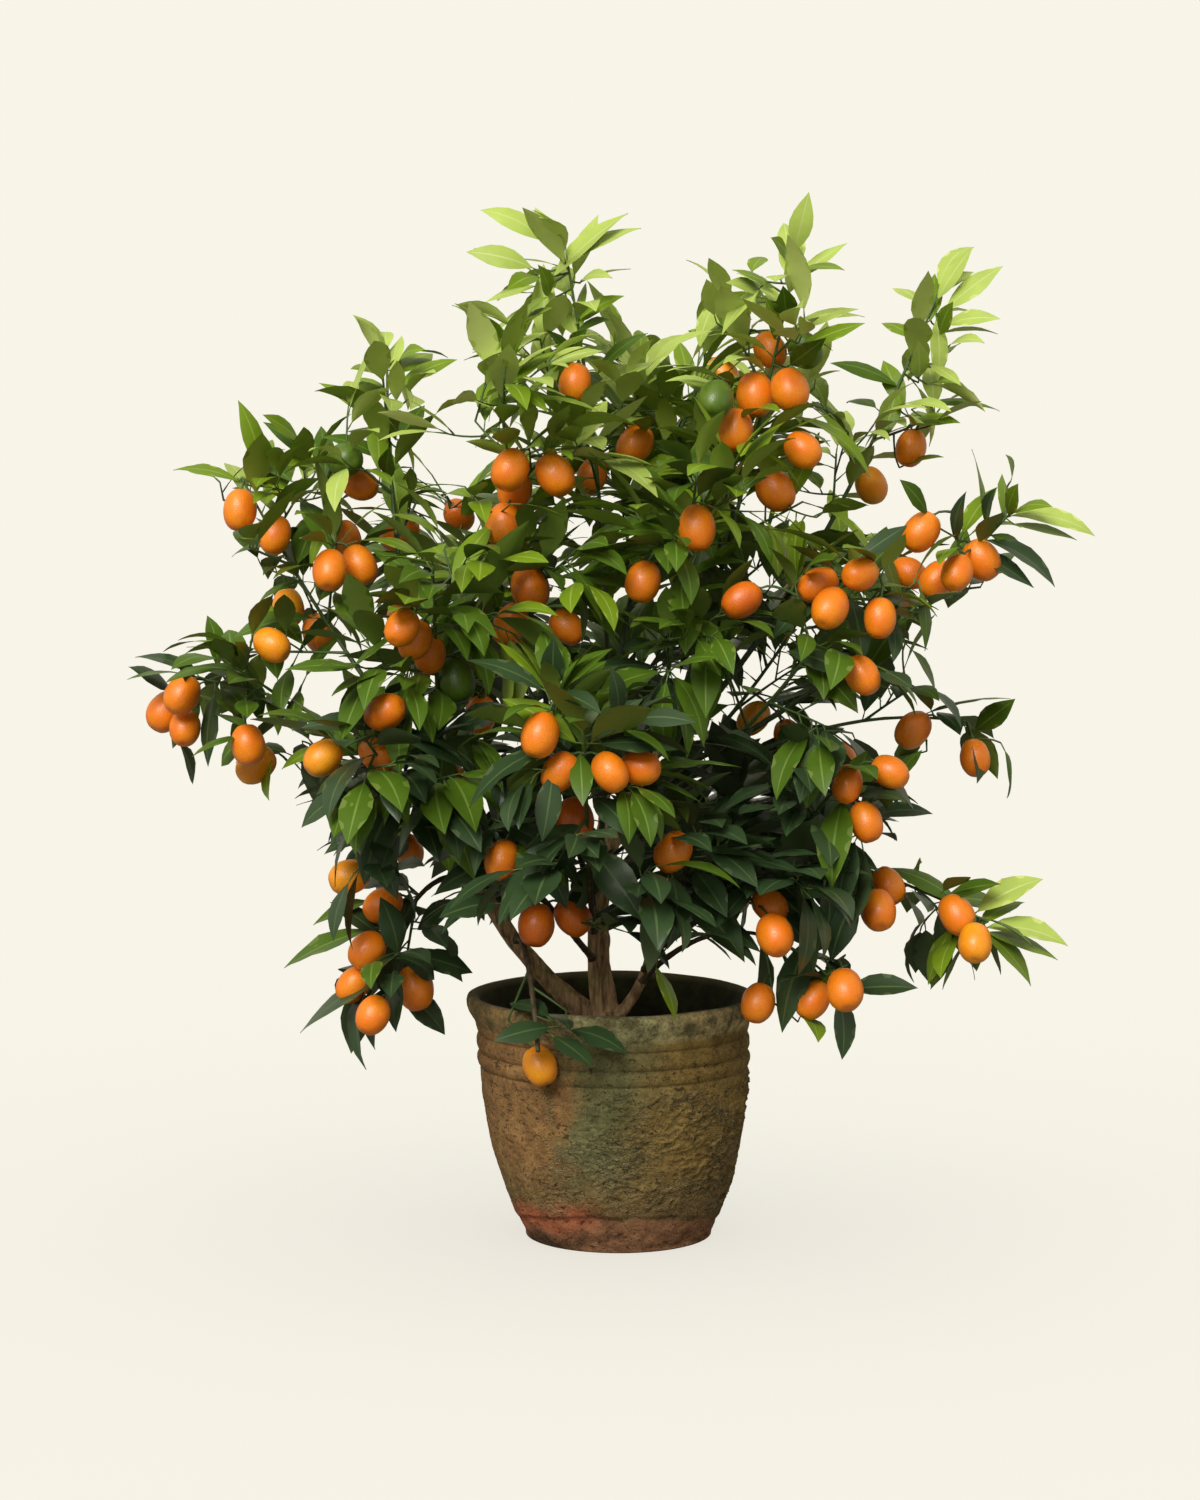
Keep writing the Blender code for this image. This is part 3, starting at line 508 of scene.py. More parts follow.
# The outline of the crown in the photograph, clockwise from its upper left, in its pixels
OUTLINE_SEEN = (
    (463, 243), (477, 204), (533, 202), (570, 221), (630, 207), (641, 245), (630, 307), (610, 328),
    (667, 332), (701, 328), (689, 307), (685, 261), (733, 259), (767, 235), (792, 192), (825, 193),
    (848, 243), (859, 308), (860, 355), (852, 380), (879, 410), (895, 380), (907, 337), (884, 287),
    (924, 245), (964, 241), (1008, 263), (1005, 321), (992, 357), (993, 415), (941, 445), (941, 463),
    (973, 480), (985, 448), (1017, 453), (1028, 499), (1097, 532), (1060, 592), (941, 607), (924, 647),
    (917, 684), (979, 681), (1015, 693), (1005, 788), (960, 783), (935, 755), (915, 767), (935, 837),
    (903, 855), (903, 873), (960, 867), (1043, 872), (1072, 947), (1035, 1001), (987, 970), (921, 999),
    (900, 953), (881, 970), (912, 1007), (867, 1015), (836, 1057), (812, 1025), (780, 1027), (757, 1028),
    (747, 983), (633, 983), (627, 1040), (567, 1093), (513, 1060), (483, 1030), (473, 997), (433, 983),
    (447, 1035), (387, 1043), (364, 1071), (335, 1021), (297, 1032), (281, 967), (320, 930), (330, 903),
    (327, 847), (299, 837), (300, 783), (268, 780), (243, 783), (212, 747), (188, 785), (172, 743),
    (144, 728), (128, 672), (160, 647), (201, 631), (237, 628), (252, 612), (217, 545), (172, 471),
    (236, 445), (236, 397), (271, 441), (330, 415), (320, 384), (361, 380), (351, 313), (397, 335),
    (455, 359), (420, 400), (473, 392), (452, 303), (503, 293), (497, 265),
)

# Where the photograph shows sky inside that outline: the middle and the radius of round openings
SKY_SEEN = (
    (495, 237, 13), (520, 248, 9), (620, 250, 20), (620, 290, 14), (590, 265, 8), (510, 308, 10),
    (510, 280, 8), (465, 335, 12), (480, 375, 12), (490, 395, 8), (525, 345, 7), (595, 325, 8),
    (695, 350, 11), (720, 350, 8), (670, 360, 7), (690, 392, 9), (660, 390, 7), (540, 425, 8),
    (588, 415, 6), (678, 417, 7), (695, 320, 10), (700, 275, 6), (745, 260, 8), (730, 265, 8),
    (825, 225, 14), (770, 230, 6), (825, 255, 8), (825, 282, 14), (845, 285, 10), (845, 345, 16),
    (850, 370, 10), (840, 395, 14), (860, 395, 14), (820, 400, 5), (870, 415, 12), (860, 425, 8),
    (840, 460, 8), (835, 475, 10), (855, 485, 8), (810, 505, 20), (815, 525, 15), (760, 505, 14),
    (745, 515, 8), (770, 520, 7), (790, 500, 8), (885, 480, 10), (890, 510, 18), (860, 520, 14),
    (900, 525, 10), (925, 480, 22), (940, 495, 20), (940, 520, 14), (960, 480, 15), (895, 300, 6),
    (905, 260, 12), (985, 285, 15), (980, 255, 10), (970, 320, 10), (985, 350, 16), (960, 365, 10),
    (980, 385, 12), (945, 392, 8), (975, 420, 12), (940, 415, 6), (945, 430, 10), (990, 470, 9),
    (1020, 460, 8), (1010, 500, 6), (975, 530, 7), (1030, 530, 10), (1050, 545, 12), (1070, 560, 14),
    (1020, 570, 8), (1030, 590, 12), (1000, 585, 10), (840, 560, 8), (885, 570, 5), (760, 560, 10),
    (740, 550, 8), (770, 580, 13), (725, 570, 6), (807, 625, 12), (580, 525, 8), (620, 595, 8),
    (555, 585, 5), (575, 570, 6), (455, 510, 14), (470, 520, 10), (435, 500, 8), (435, 530, 10),
    (420, 510, 8), (475, 530, 6), (445, 465, 22), (470, 465, 18), (425, 465, 14), (460, 480, 10),
    (460, 425, 20), (480, 415, 10), (420, 445, 8), (370, 460, 9), (375, 445, 6), (435, 390, 9),
    (420, 385, 7), (360, 345, 10), (335, 410, 12), (360, 420, 8), (235, 450, 8), (215, 460, 8),
    (205, 500, 20), (220, 520, 14), (210, 480, 8), (245, 570, 12), (240, 585, 12), (255, 560, 8),
    (310, 595, 12), (335, 600, 10), (280, 590, 5), (250, 630, 8), (235, 640, 6), (260, 640, 6),
    (300, 650, 12), (270, 685, 10), (270, 705, 8), (315, 680, 14), (320, 707, 12), (305, 740, 10),
    (285, 735, 9), (285, 765, 12), (295, 775, 8), (225, 725, 7), (210, 685, 5), (145, 695, 6),
    (195, 765, 7), (235, 770, 7), (320, 825, 10), (335, 860, 6), (415, 850, 10), (430, 855, 7),
    (420, 880, 13), (435, 880, 8), (425, 895, 7), (370, 890, 7), (360, 915, 8), (315, 965, 18),
    (330, 960, 14), (300, 990, 14), (340, 945, 8), (320, 1015, 8), (460, 930, 12), (480, 945, 20),
    (500, 960, 18), (515, 965, 10), (485, 960, 10), (445, 985, 8), (460, 990, 8), (420, 940, 9),
    (440, 1010, 6), (400, 1010, 6), (390, 1035, 10), (560, 960, 6), (590, 945, 6), (632, 960, 8),
    (642, 945, 5), (678, 960, 7), (705, 960, 9), (735, 970, 10), (768, 952, 12), (750, 970, 7),
    (865, 945, 18), (845, 950, 12), (885, 940, 15), (920, 920, 13), (930, 910, 8), (875, 995, 22),
    (885, 1015, 12), (860, 1025, 12), (850, 1030, 8), (815, 1020, 8), (770, 1020, 7), (885, 855, 12),
    (915, 835, 16), (905, 850, 10), (910, 790, 6), (900, 930, 12), (970, 895, 6), (1020, 915, 10),
    (1045, 900, 10), (990, 970, 8), (960, 970, 10), (940, 740, 14), (940, 755, 8), (1000, 715, 5),
    (965, 685, 6), (1005, 765, 5), (900, 665, 10), (910, 630, 6), (915, 675, 8), (880, 720, 22),
    (860, 720, 18), (890, 740, 14), (870, 745, 12), (845, 720, 10), (885, 692, 7), (847, 750, 7),
    (820, 715, 11), (810, 705, 7), (775, 670, 22), (755, 675, 12), (790, 675, 10), (770, 650, 9),
    (740, 720, 10), (765, 715, 8), (780, 705, 8), (775, 740, 12), (790, 720, 6), (730, 705, 6),
    (727, 650, 7), (750, 655, 7), (667, 675, 11), (655, 665, 9), (685, 675, 8), (692, 685, 7),
    (642, 692, 6), (640, 637, 7), (660, 635, 8), (645, 657, 6), (827, 827, 8), (792, 842, 6),
)

# Where the photograph shows the stems at the foot of the crown, with no leaf in front, in the same way
WOOD_SEEN = ((520, 945, 24), (555, 975, 22), (600, 960, 34), (640, 985, 22), (602, 900, 14))

# The side of the square cells in which the photograph's sky is told, in pixels
CELL = 4

# The colour of a leaf of each age: its upper face, its rib and its underside, and its upper face's gloss.
# Undersides are paler than faces, and the young ages' faces and undersides are painted lighter still:
# partly their own paler green, partly painted light shining through them
LeafLook = namedtuple("LeafLook", "blade rib under roughness specular")
LEAF_LOOKS = {
    "old": LeafLook((0.033, 0.066, 0.024), (0.075, 0.125, 0.04), (0.065, 0.105, 0.035), 0.34, 0.38),
    "grown": LeafLook((0.070, 0.138, 0.010), (0.14, 0.23, 0.03), (0.13, 0.20, 0.025), 0.38, 0.26),
    "fresh": LeafLook((0.165, 0.265, 0.012), (0.27, 0.38, 0.05), (0.27, 0.37, 0.05), 0.42, 0.26),
    "new": LeafLook((0.41, 0.53, 0.11), (0.50, 0.61, 0.20), (0.55, 0.64, 0.20), 0.48, 0.26),
}
AGES = tuple(LEAF_LOOKS)
SLOTS_PER_AGE = 3

# The youth below which a leaf has each age, and what it gains to its branch's tip, to the top and by spray
AGE_BELOW = {"old": 0.44, "grown": 0.88, "fresh": 1.24}
YOUTH_TO_TIP = 0.3
YOUTH_TO_TOP = 0.75
YOUTH_OF_SPRAY = 0.13

FRUIT_LOOKS = {
    "ripe": ((0.98, 0.30, 0.008), (0.90, 0.20, 0.005)),
    "deep": ((0.86, 0.20, 0.006), (0.66, 0.12, 0.004)),
    "golden": ((1.0, 0.42, 0.012), (0.96, 0.30, 0.008)),
    "green": ((0.12, 0.20, 0.012), (0.07, 0.14, 0.01)),
}
RIPENESS = tuple(FRUIT_LOOKS)


def bezier(start, middle, end, t):
    """A point of the quadratic curve with these three handles."""
    return start * (1 - t) ** 2 + middle * (2 * t * (1 - t)) + end * t * t


def trail(start, middle, end, count):
    """Points along the quadratic curve, evenly spaced along its length."""
    fine = [bezier(start, middle, end, i / FINE_STEPS) for i in range(FINE_STEPS + 1)]
    lengths = [0]
    for a, b in zip(fine, fine[1:]):
        lengths.append(lengths[-1] + (b - a).length)
    points = []
    for i in range(count):
        wanted = lengths[-1] * i / (count - 1)
        k = next((n for n in range(1, FINE_STEPS) if lengths[n] >= wanted), FINE_STEPS)
        share = (wanted - lengths[k - 1]) / (lengths[k] - lengths[k - 1])
        points.append(fine[k - 1].lerp(fine[k], share))
    return points


def along(path, share):
    """The point and the direction at a share of a path whose points are evenly spaced."""
    place = share * (len(path) - 1)
    k = min(int(place), len(path) - 2)
    return path[k].lerp(path[k + 1], place - k), (path[k + 1] - path[k]).normalized()


def length_of(path):
    return sum((b - a).length for a, b in zip(path, path[1:]))


def stem_path(stem):
    foot, middle, tip = Vector(stem.foot), Vector(stem.middle), Vector(stem.tip)
    return trail(foot, 2 * middle - (foot + tip) / 2, tip, STEM_POINTS)


def branch_path(branch, parent):
    """The curve of a branch from its parent's axis, or the parent's end, to where its end leaves spread."""
    start, heading = along(parent, branch.at)
    tip = Vector(branch.tip)
    middle = (start + tip) / 2 + UP * branch.arch
    if branch.at == 1.0:
        middle = start + heading * (tip - start).length * 0.5 + UP * branch.arch
    return trail(start, middle, tip, 2 * CURVE_POINTS)


def stretch_of(path, low, high, count):
    """The stretch of a path between two shares of its length, as evenly spaced points."""
    return [along(path, low + (high - low) * i / (count - 1))[0] for i in range(count)]


def spin(direction, angle, lean):
    """A direction that leans away from another by an angle, turned about it by another angle."""
    side = direction.cross(UP if abs(direction.z) < 0.9 else Vector((1, 0, 0))).normalized()
    out = Matrix.Rotation(angle, 3, direction) @ side
    return (direction * math.cos(lean) + out * math.sin(lean)).normalized()


def habit(height):
    """How much young wood and leaves rise at the top of the crown and hang at its foot."""
    share = min(1, max(0, (height - LOW_HEIGHT) / (HIGH_HEIGHT - LOW_HEIGHT)))
    return LOW_DROOP + (HIGH_LIFT - LOW_DROOP) * share


def distance_to(path, point):
    """The distance from a point to a path of straight stretches."""
    best = 1.0
    for a, b in zip(path, path[1:]):
        run = b - a
        share = min(1, max(0, (point - a).dot(run) / run.length_squared))
        best = min(best, (point - a - run * share).length)
    return best


def sight_line(across, down):
    """The direction from the camera through a pixel of the photograph."""
    right = (across - PHOTO_WIDTH / 2) / FOCAL_PIXELS
    rise = (PHOTO_HEIGHT / 2 - down) / FOCAL_PIXELS
    turn = Matrix.Rotation(math.pi / 2 - CAMERA_PITCH, 3, "X")
    return (turn @ Vector((right, rise, -1))).normalized()


def pixel_of(point):
    """Where a point is in the photograph, in pixels across and down, and its depth."""
    x, y, z = point - CAMERA_PLACE
    depth = y * math.cos(CAMERA_PITCH) - z * math.sin(CAMERA_PITCH)
    rise = y * math.sin(CAMERA_PITCH) + z * math.cos(CAMERA_PITCH)
    return PHOTO_WIDTH / 2 + FOCAL_PIXELS * x / depth, PHOTO_HEIGHT / 2 - FOCAL_PIXELS * rise / depth, depth


class Batch:
    """Corners and faces of one kind of small thing, each face with the slot of its material."""

    def __init__(self):
        self.corners = []
        self.faces = []
        self.slots = []

    def add(self, corners, faces, slots):
        first = len(self.corners)
        self.corners += corners
        self.faces += [tuple(first + i for i in face) for face in faces]
        self.slots += slots


class Crowd:
    """Points that are taken, kept in cells, so that new leaves stay clear of them."""

    def __init__(self, clearance):
        self.clearance = clearance
        self.cells = defaultdict(list)

    def cell(self, point):
        return tuple(math.floor(value / self.clearance) for value in point)

    def add(self, points):
        for point in points:
            self.cells[self.cell(point)].append(point)

    def taken(self, point):
        x, y, z = self.cell(point)
        for i in (x - 1, x, x + 1):
            for j in (y - 1, y, y + 1):
                for k in (z - 1, z, z + 1):
                    for other in self.cells.get((i, j, k), ()):
                        if (other - point).length < self.clearance:
                            return True
        return False


def show(name, data):
    """A new object in the scene."""
    thing = bpy.data.objects.new(name, data)
    bpy.context.scene.collection.objects.link(thing)
    return thing


def make_piece(name, batch, materials, replaced=()):
    """One object from a batch, which rides on the plant's only body."""
    mesh = bpy.data.meshes.new(name)
    mesh.from_pydata(batch.corners, [], batch.faces)
    mesh.polygons.foreach_set("material_index", batch.slots)
    mesh.shade_smooth()
    mesh.update()
    piece = show(name, mesh)
    for material in materials:
        mesh.materials.append(material)
    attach(piece, "root")
    if replaced:
        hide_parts(*replaced)


def grid_faces(rows, columns, closed):
    """Faces of a grid of points, row by row. A closed grid's last column joins its first."""
    faces = []
    for row in range(rows - 1):
        for column in range(columns if closed else columns - 1):
            after = (column + 1) % columns
            low, high = row * columns, (row + 1) * columns
            faces.append((low + column, low + after, high + after, high + column))
    return faces


def sweep(batch, path, radii, sides, slot, relief=None):
    """A tube round a path with a closed tip. The relief, where there is one, adds to a point's radius."""
    heading = (path[1] - path[0]).normalized()
    side = heading.orthogonal().normalized()
    corners = []
    done = 0
    for i, (place, radius) in enumerate(zip(path, radii)):
        before, after = path[max(0, i - 1)], path[min(len(path) - 1, i + 1)]
        heading = (after - before).normalized()
        side = (side - heading * side.dot(heading)).normalized()
        done += (place - path[i - 1]).length if i else 0
        for k in range(sides):
            turn = 2 * math.pi * k / sides
            out = side * math.cos(turn) + heading.cross(side) * math.sin(turn)
            swell = relief(place, turn, done, radius) if relief else 0
            corners.append(place + out * (radius + swell))
    faces = grid_faces(len(path), sides, closed=True)
    tip = len(corners)
    corners.append(path[-1] + heading * radii[-1] * 0.7)
    last = tip - sides
    faces += [(last + k, last + (k + 1) % sides, tip) for k in range(sides)]
    batch.add(corners, faces, [slot] * len(faces))


# Shoots

class Shoot:
    """A twig or a stalk. Only as much of it is made as bears leaves, fruit or other shoots."""

    def __init__(self, path, thick, thin, order, parent=None):
        self.path = path
        self.thick = thick
        self.thin = thin
        self.order = order
        self.parent = parent
        self.used = 0

    def keep(self, place):
        """Something grows at this place of the shoot, so it is made up to there."""
        shares = [i / FINE_STEPS for i in range(FINE_STEPS + 1)]
        share = min(shares, key=lambda share: (along(self.path, share)[0] - place).length)
        if share > self.used:
            self.used = share
        if self.parent:
            self.parent.keep(self.path[0])


def rings_on(path, spacing):
    """The same path as evenly spaced points, about that far apart."""
    count = max(3, round(length_of(path) / spacing) + 1)
    return stretch_of(path, 0, 1, count)


def spots_on(shoots, spacing):
    """Places along the wood, each with its shoot."""
    return [(place, shoot) for shoot in shoots for place in rings_on(shoot.path, spacing)]


def tapered(thick, thin, count):
    """Radii of a limb's rings, from its foot to its tip."""
    return [thick + (thin - thick) * i / (count - 1) for i in range(count)]


def twig_sites(branch, stem):
    """Where twigs leave a shoot's stem, spiralling up it: (start, direction, length)."""
    rng = random.Random("twigs " + branch.name)
    count = max(FEWEST_TWIGS, round(branch.density * branch.twiggy * length_of(stem) / TWIG_SPACING))
    turn = rng.uniform(0, 2 * math.pi)
    for i in range(count):
        share = TWIGS_FROM + (branch.twiggy - TWIGS_FROM) * i / (count - 1)
        start, heading = along(stem, share)
        turn += GOLDEN_ANGLE
        direction = spin(heading, turn, math.radians(rng.uniform(*TWIG_LEAN)))
        direction = (direction + UP * TWIG_LIFT * habit(start.z)).normalized()
        size = (TWIG_AT_FOOT - TWIG_LOSS_TO_TIP * share) * rng.uniform(*TWIG_SPREAD)
        yield start, direction, TWIG_LENGTH * size


def curved(start, direction, length, count):
    """A twig's path, which bends up or down with the habit of its height."""
    lift = habit(start.z)
    end = start + direction * length + UP * lift * (TWIG_SAG if lift < 0 else TWIG_RISE) * length
    return trail(start, start + direction * length * TWIG_BEND_AT, end, count)


def grow_shoots(branch, spine):
    """The leafy stem of a branch, the twigs along it and the finer twigs along those."""
    rng = random.Random("finer twigs " + branch.name)
    stem = Shoot(spine, SHOOT_RADIUS, TIP_RADIUS, 0)
    shoots = [stem]
    for start, direction, length in twig_sites(branch, spine):
        twig = Shoot(curved(start, direction, length, 7), TWIG_RADIUS, TWIG_TIP, 1, stem)
        shoots.append(twig)
        turn = rng.uniform(0, 2 * math.pi)
        for share in FINE_TWIG_AT:
            turn += GOLDEN_ANGLE
            place, heading = along(twig.path, share)
            out = spin(heading, turn, math.radians(rng.uniform(*TWIG_LEAN)))
            fine = curved(place, out, FINE_TWIG_LENGTH * rng.uniform(*FINE_TWIG_SPREAD), 5)
            shoots.append(Shoot(fine, TWIG_TIP, TWIG_TIP * 0.8, 2, twig))
    return shoots


# Leaves

Leaf = namedtuple("Leaf", "root direction side face length width bend twist fold cup wave phase")


def make_leaf(rng, root, direction, roll, size):
    """A leaf's place and the numbers that make it differ from its neighbours."""
    level = direction.cross(UP)
    level = level.normalized() if level.length > 0.05 else Vector((1, 0, 0))
    side = Matrix.Rotation(roll, 3, direction) @ level
    width = size * rng.uniform(*BLADE_WIDTH) * (WIDTH_AT_REST - WIDTH_LOSS_TO_TOP * habit(root.z))
    shape = {name: rng.uniform(*span) for name, span in LEAF_SHAPE.items()}
    return Leaf(root, direction, side, side.cross(direction), size, width, **shape)


def blade_outline(share):
    """How wide a leaf is at a share of its length, where 1 is its widest."""
    return math.sin(math.pi * share ** BLADE_FULLEST) ** BLADE_TAPER if 0 < share < 1 else 0


def blade_point(leaf, share, column):
    """A point of a leaf's upper face and the way that the face looks there."""
    angle = leaf.bend * share
    run = math.sin(angle) / leaf.bend
    drop = (1 - math.cos(angle)) / leaf.bend
    normal = leaf.face * math.cos(angle) + leaf.direction * math.sin(angle)
    turn = leaf.twist * share
    side = leaf.side * math.cos(turn) + normal * math.sin(turn)
    normal = normal * math.cos(turn) - leaf.side * math.sin(turn)
    half = leaf.width / 2 * blade_outline(share)
    middle = leaf.root + (leaf.direction * run - leaf.face * drop) * leaf.length
    ripple = leaf.wave * math.sin(5 * math.pi * share + leaf.phase + column) * abs(column)
    rise = leaf.fold * abs(column) - leaf.cup * column * column + ripple
    return middle + side * column * half + normal * rise * half, normal


def add_blade(batch, leaf, age):
    """The upper face with its rib, and the underside, which meets it at the edge."""
    upper = [blade_point(leaf, share, column)[0] for share in LEAF_STATIONS for column in UPPER_COLUMNS]
    faces = grid_faces(len(LEAF_STATIONS), len(UPPER_COLUMNS), closed=False)
    rib = UPPER_COLUMNS.index(-RIB)
    slots = [SLOTS_PER_AGE * age + (i % (len(UPPER_COLUMNS) - 1) == rib) for i in range(len(faces))]
    batch.add(upper, faces, slots)
    under = []
    for share in LEAF_STATIONS:
        for column in UNDER_COLUMNS:
            place, normal = blade_point(leaf, share, column)
            under.append(place - normal * BLADE_THICKNESS * (1 - abs(column)))
    faces = [face[::-1] for face in grid_faces(len(LEAF_STATIONS), len(UNDER_COLUMNS), closed=False)]
    batch.add(under, faces, [SLOTS_PER_AGE * age + 2] * len(faces))


def leaf_samples(leaf):
    """Points spread over a leaf's blade."""
    spots = [(share, column) for share in SAMPLE_STATIONS for column in SAMPLE_COLUMNS]
    return [blade_point(leaf, *spot)[0] for spot in (*spots, (1, 0))]


def leaf_sites(rng, shoot, density):
    """Where leaves leave a shoot, closer, steeper and smaller at its tip: (place, heading, lean, size)."""
    length = length_of(shoot.path)
    down, count = 0.001, 0
    while down < (1 - LEAVES_FROM) * length:
        opened = 1 - math.exp(-count / LEAVES_TO_OPEN)
        lean = TIP_LEAN + (FULL_LEAN - TIP_LEAN) * opened + rng.uniform(-LEAN_SPREAD, LEAN_SPREAD)
        yield (*along(shoot.path, 1 - down / length), lean, SIZE_AT_TIP + (1 - SIZE_AT_TIP) * opened)
        down += LEAF_SPACING / density * (SPACING_AT_TIP + (1 - SPACING_AT_TIP) * opened)
        count += 1


def age_for(branch, height, share, spray):
    """A leaf's age: younger high up, near its branch's tip, on vigorous branches and in some sprays."""
    high = YOUTH_TO_TOP * (height - LOW_HEIGHT) / (HIGH_HEIGHT - LOW_HEIGHT)
    youth = branch.youth + YOUTH_TO_TIP * share + high + spray
    return next((i for i, age in enumerate(AGES[:-1]) if youth < AGE_BELOW[age]), len(AGES) - 1)


def in_circles(across, down, circles):
    return any(math.hypot(across - x, down - y) < radius for x, y, radius in circles)


def sky_cells():
    """The cells of the photograph that are outside the crown's outline or in one of its openings."""
    sky = set()
    edges = list(zip(OUTLINE_SEEN, OUTLINE_SEEN[1:] + OUTLINE_SEEN[:1]))
    for row in range(PHOTO_HEIGHT // CELL):
        down = (row + 0.5) * CELL
        crossings = [
            x1 + (x2 - x1) * (down - y1) / (y2 - y1)
            for (x1, y1), (x2, y2) in edges if (y1 > down) != (y2 > down)
        ]
        for column in range(PHOTO_WIDTH // CELL):
            across = (column + 0.5) * CELL
            if sum(x < across for x in crossings) % 2 == 0:
                sky.add((column, row))
    for x, y, radius in SKY_SEEN:
        for column in range((x - radius) // CELL, (x + radius) // CELL + 1):
            for row in range((y - radius) // CELL, (y + radius) // CELL + 1):
                if math.hypot((column + 0.5) * CELL - x, (row + 0.5) * CELL - y) < radius:
                    sky.add((column, row))
    return sky


class Garden:
    """What has grown so far: the wood, leaves and fruit as batches, and what they keep clear of."""

    def __init__(self, box):
        self.low, self.high = box
        self.twigs = Batch()
        self.leaves = [Batch()]
        self.fruit = Batch()
        self.calyxes = Batch()
        self.leaf_crowd = Crowd(LEAF_CLEARANCE)
        self.fruit_places = []
        self.seen = defaultdict(list)
        self.sky = sky_cells()
        self.covered = set()

    def add_seen_fruit(self, centre):
        across, down, depth = pixel_of(centre)
        self.seen[int(across // SIGHT_CELL), int(down // SIGHT_CELL)].append((across, down, depth))

    def hides_fruit(self, across, down, depth):
        """Whether a point stands between the camera and the middle of a fruit that the photograph shows."""
        column, row = int(across // SIGHT_CELL), int(down // SIGHT_CELL)
        for i in (column - 1, column, column + 1):
            for j in (row - 1, row, row + 1):
                for x, y, far in self.seen.get((i, j), ()):
                    if depth < far and math.hypot(across - x, down - y) < SIGHT_CLEARANCE:
                        return True
        return False

    def is_behind(self, point):
        """Whether a point is in the back of the crown, away from its outline in the photograph."""
        across, down = pixel_of(point)[:2]
        x, y, half_width, half_height = CROWN_OVAL
        return point.y > BACK_FROM and math.hypot((across - x) / half_width, (down - y) / half_height) < 1

    def shows_where_none_is(self, point, across, down):
        """Whether a point is outside the crown's outline in the photograph or in one of its openings."""
        if (across // CELL, down // CELL) in self.sky:
            return True
        return point.y < -0.01 and in_circles(across, down, WOOD_SEEN)

    def hits_fruit(self, point):
        return any((point - place).length < reach for place, reach in self.fruit_places)

    def inside(self, point):
        """Whether a point is within the solids' box or just outside it, and off the pot."""
        sides = zip(self.low, point, self.high)
        fits = all(low - BOX_MARGIN < value < high + BOX_MARGIN for low, value, high in sides)
        off_pot = math.hypot(point.x, point.y) > CLEAR_OF_POT or point.z > ABOVE_RIM
        return fits and off_pot and point.z > LOWEST_LEAF


def leaf_fits(garden, spine, leaf):
    """Points of a leaf and the cells of the photograph that it covers, or nothing if it has no room."""
    samples = leaf_samples(leaf)
    cells = set()
    overhang = 0
    for point in samples:
        across, down, depth = pixel_of(point)
        overhang += garden.shows_where_none_is(point, across, down)
        if not garden.inside(point) or overhang > LEAF_OVERHANG:
            return None
        if garden.hides_fruit(across, down, depth) or garden.hits_fruit(point):
            return None
        if garden.leaf_crowd.taken(point) or distance_to(spine, point) > REACH:
            return None
        cells.add((across // CELL, down // CELL))
    return samples, cells


def grow_leaves(garden, branch, spine, shoots):
    """Leaves on a branch. Of a few that fit a place, the one that covers most new ground grows."""
    rng = random.Random("leaves " + branch.name)
    seen = sum(len(leaves) for leaves in LEAVES_SEEN.get(branch.name, {}).values())
    density = branch.density * max(LEAST_SHARE_ADDED, 1 - SHARE_PER_LEAF_SEEN * seen)
    for shoot in shoots:
        spray = rng.gauss(0, YOUTH_OF_SPRAY)
        turn = rng.uniform(0, 2 * math.pi)
        for place, heading, lean, size in leaf_sites(rng, shoot, density):
            size *= rng.uniform(*BLADE_LENGTH) * (SIZE_ON_FINE_TWIGS if shoot.order == 2 else 1)
            turn += GOLDEN_ANGLE
            share = min(1, (place - spine[0]).length / length_of(spine))
            age = age_for(branch, place.z, share, spray)
            choices = []
            for attempt in range(LEAF_TRIES):
                turned = turn + attempt * TURN_STEP
                leaf = try_leaf(rng, place, heading, turned, lean, size * (1 - SHRINK_STEP * attempt))
                room = leaf_fits(garden, spine, leaf)
                if room:
                    choices.append((leaf, *room))
                if len(choices) == LEAVES_WEIGHED:
                    break
            if choices:
                leaf, samples, cells = max(choices, key=lambda choice: len(choice[2] - garden.covered))
                garden.leaf_crowd.add(samples)
                garden.covered |= cells
                plant_leaf(garden, place, leaf, age)
                shoot.keep(place)


def try_leaf(rng, place, heading, turn, lean, size):
    """A leaf that might grow from a shoot, raised or lowered by the habit of its height."""
    direction = spin(heading, turn, math.radians(lean + rng.uniform(-LEAN_OF_LEAF, LEAN_OF_LEAF)))
    rise = HABIT_OF_LEAF * habit(place.z) + rng.uniform(*RISE_OF_LEAF)
    direction = (direction + UP * LEAF_LIFT * rise).normalized()
    roll = math.radians(rng.gauss(0, LEAF_ROLL))
    return make_leaf(rng, place + direction * STALK_LENGTH, direction, roll, size)


def lay_leaf(rng, root, tip, width):
    """A leaf from root to tip that shows this much of its width to the camera, with its face turned up."""
    chord = tip - root
    bend = rng.uniform(*SEEN_BEND)
    length = chord.length * bend / (2 * math.sin(bend / 2))
    chord.normalize()
    view = (CAMERA_PLACE - root).normalized()
    full_on = (view - chord * view.dot(chord)).normalized()
    leaf = make_leaf(rng, root, chord, 0, length)
    whole = max(leaf.width, width)
    turn = math.acos(min(1, width / whole))
    faces = [full_on * math.cos(turn) + chord.cross(full_on) * side * math.sin(turn) for side in (-1, 1)]
    upward = max(faces, key=lambda way: way.z)
    direction = chord * math.cos(bend / 2) + upward * math.sin(bend / 2)
    face = upward * math.cos(bend / 2) - chord * math.sin(bend / 2)
    side = direction.cross(face)
    return leaf._replace(direction=direction, face=face, side=side, width=whole, bend=bend)


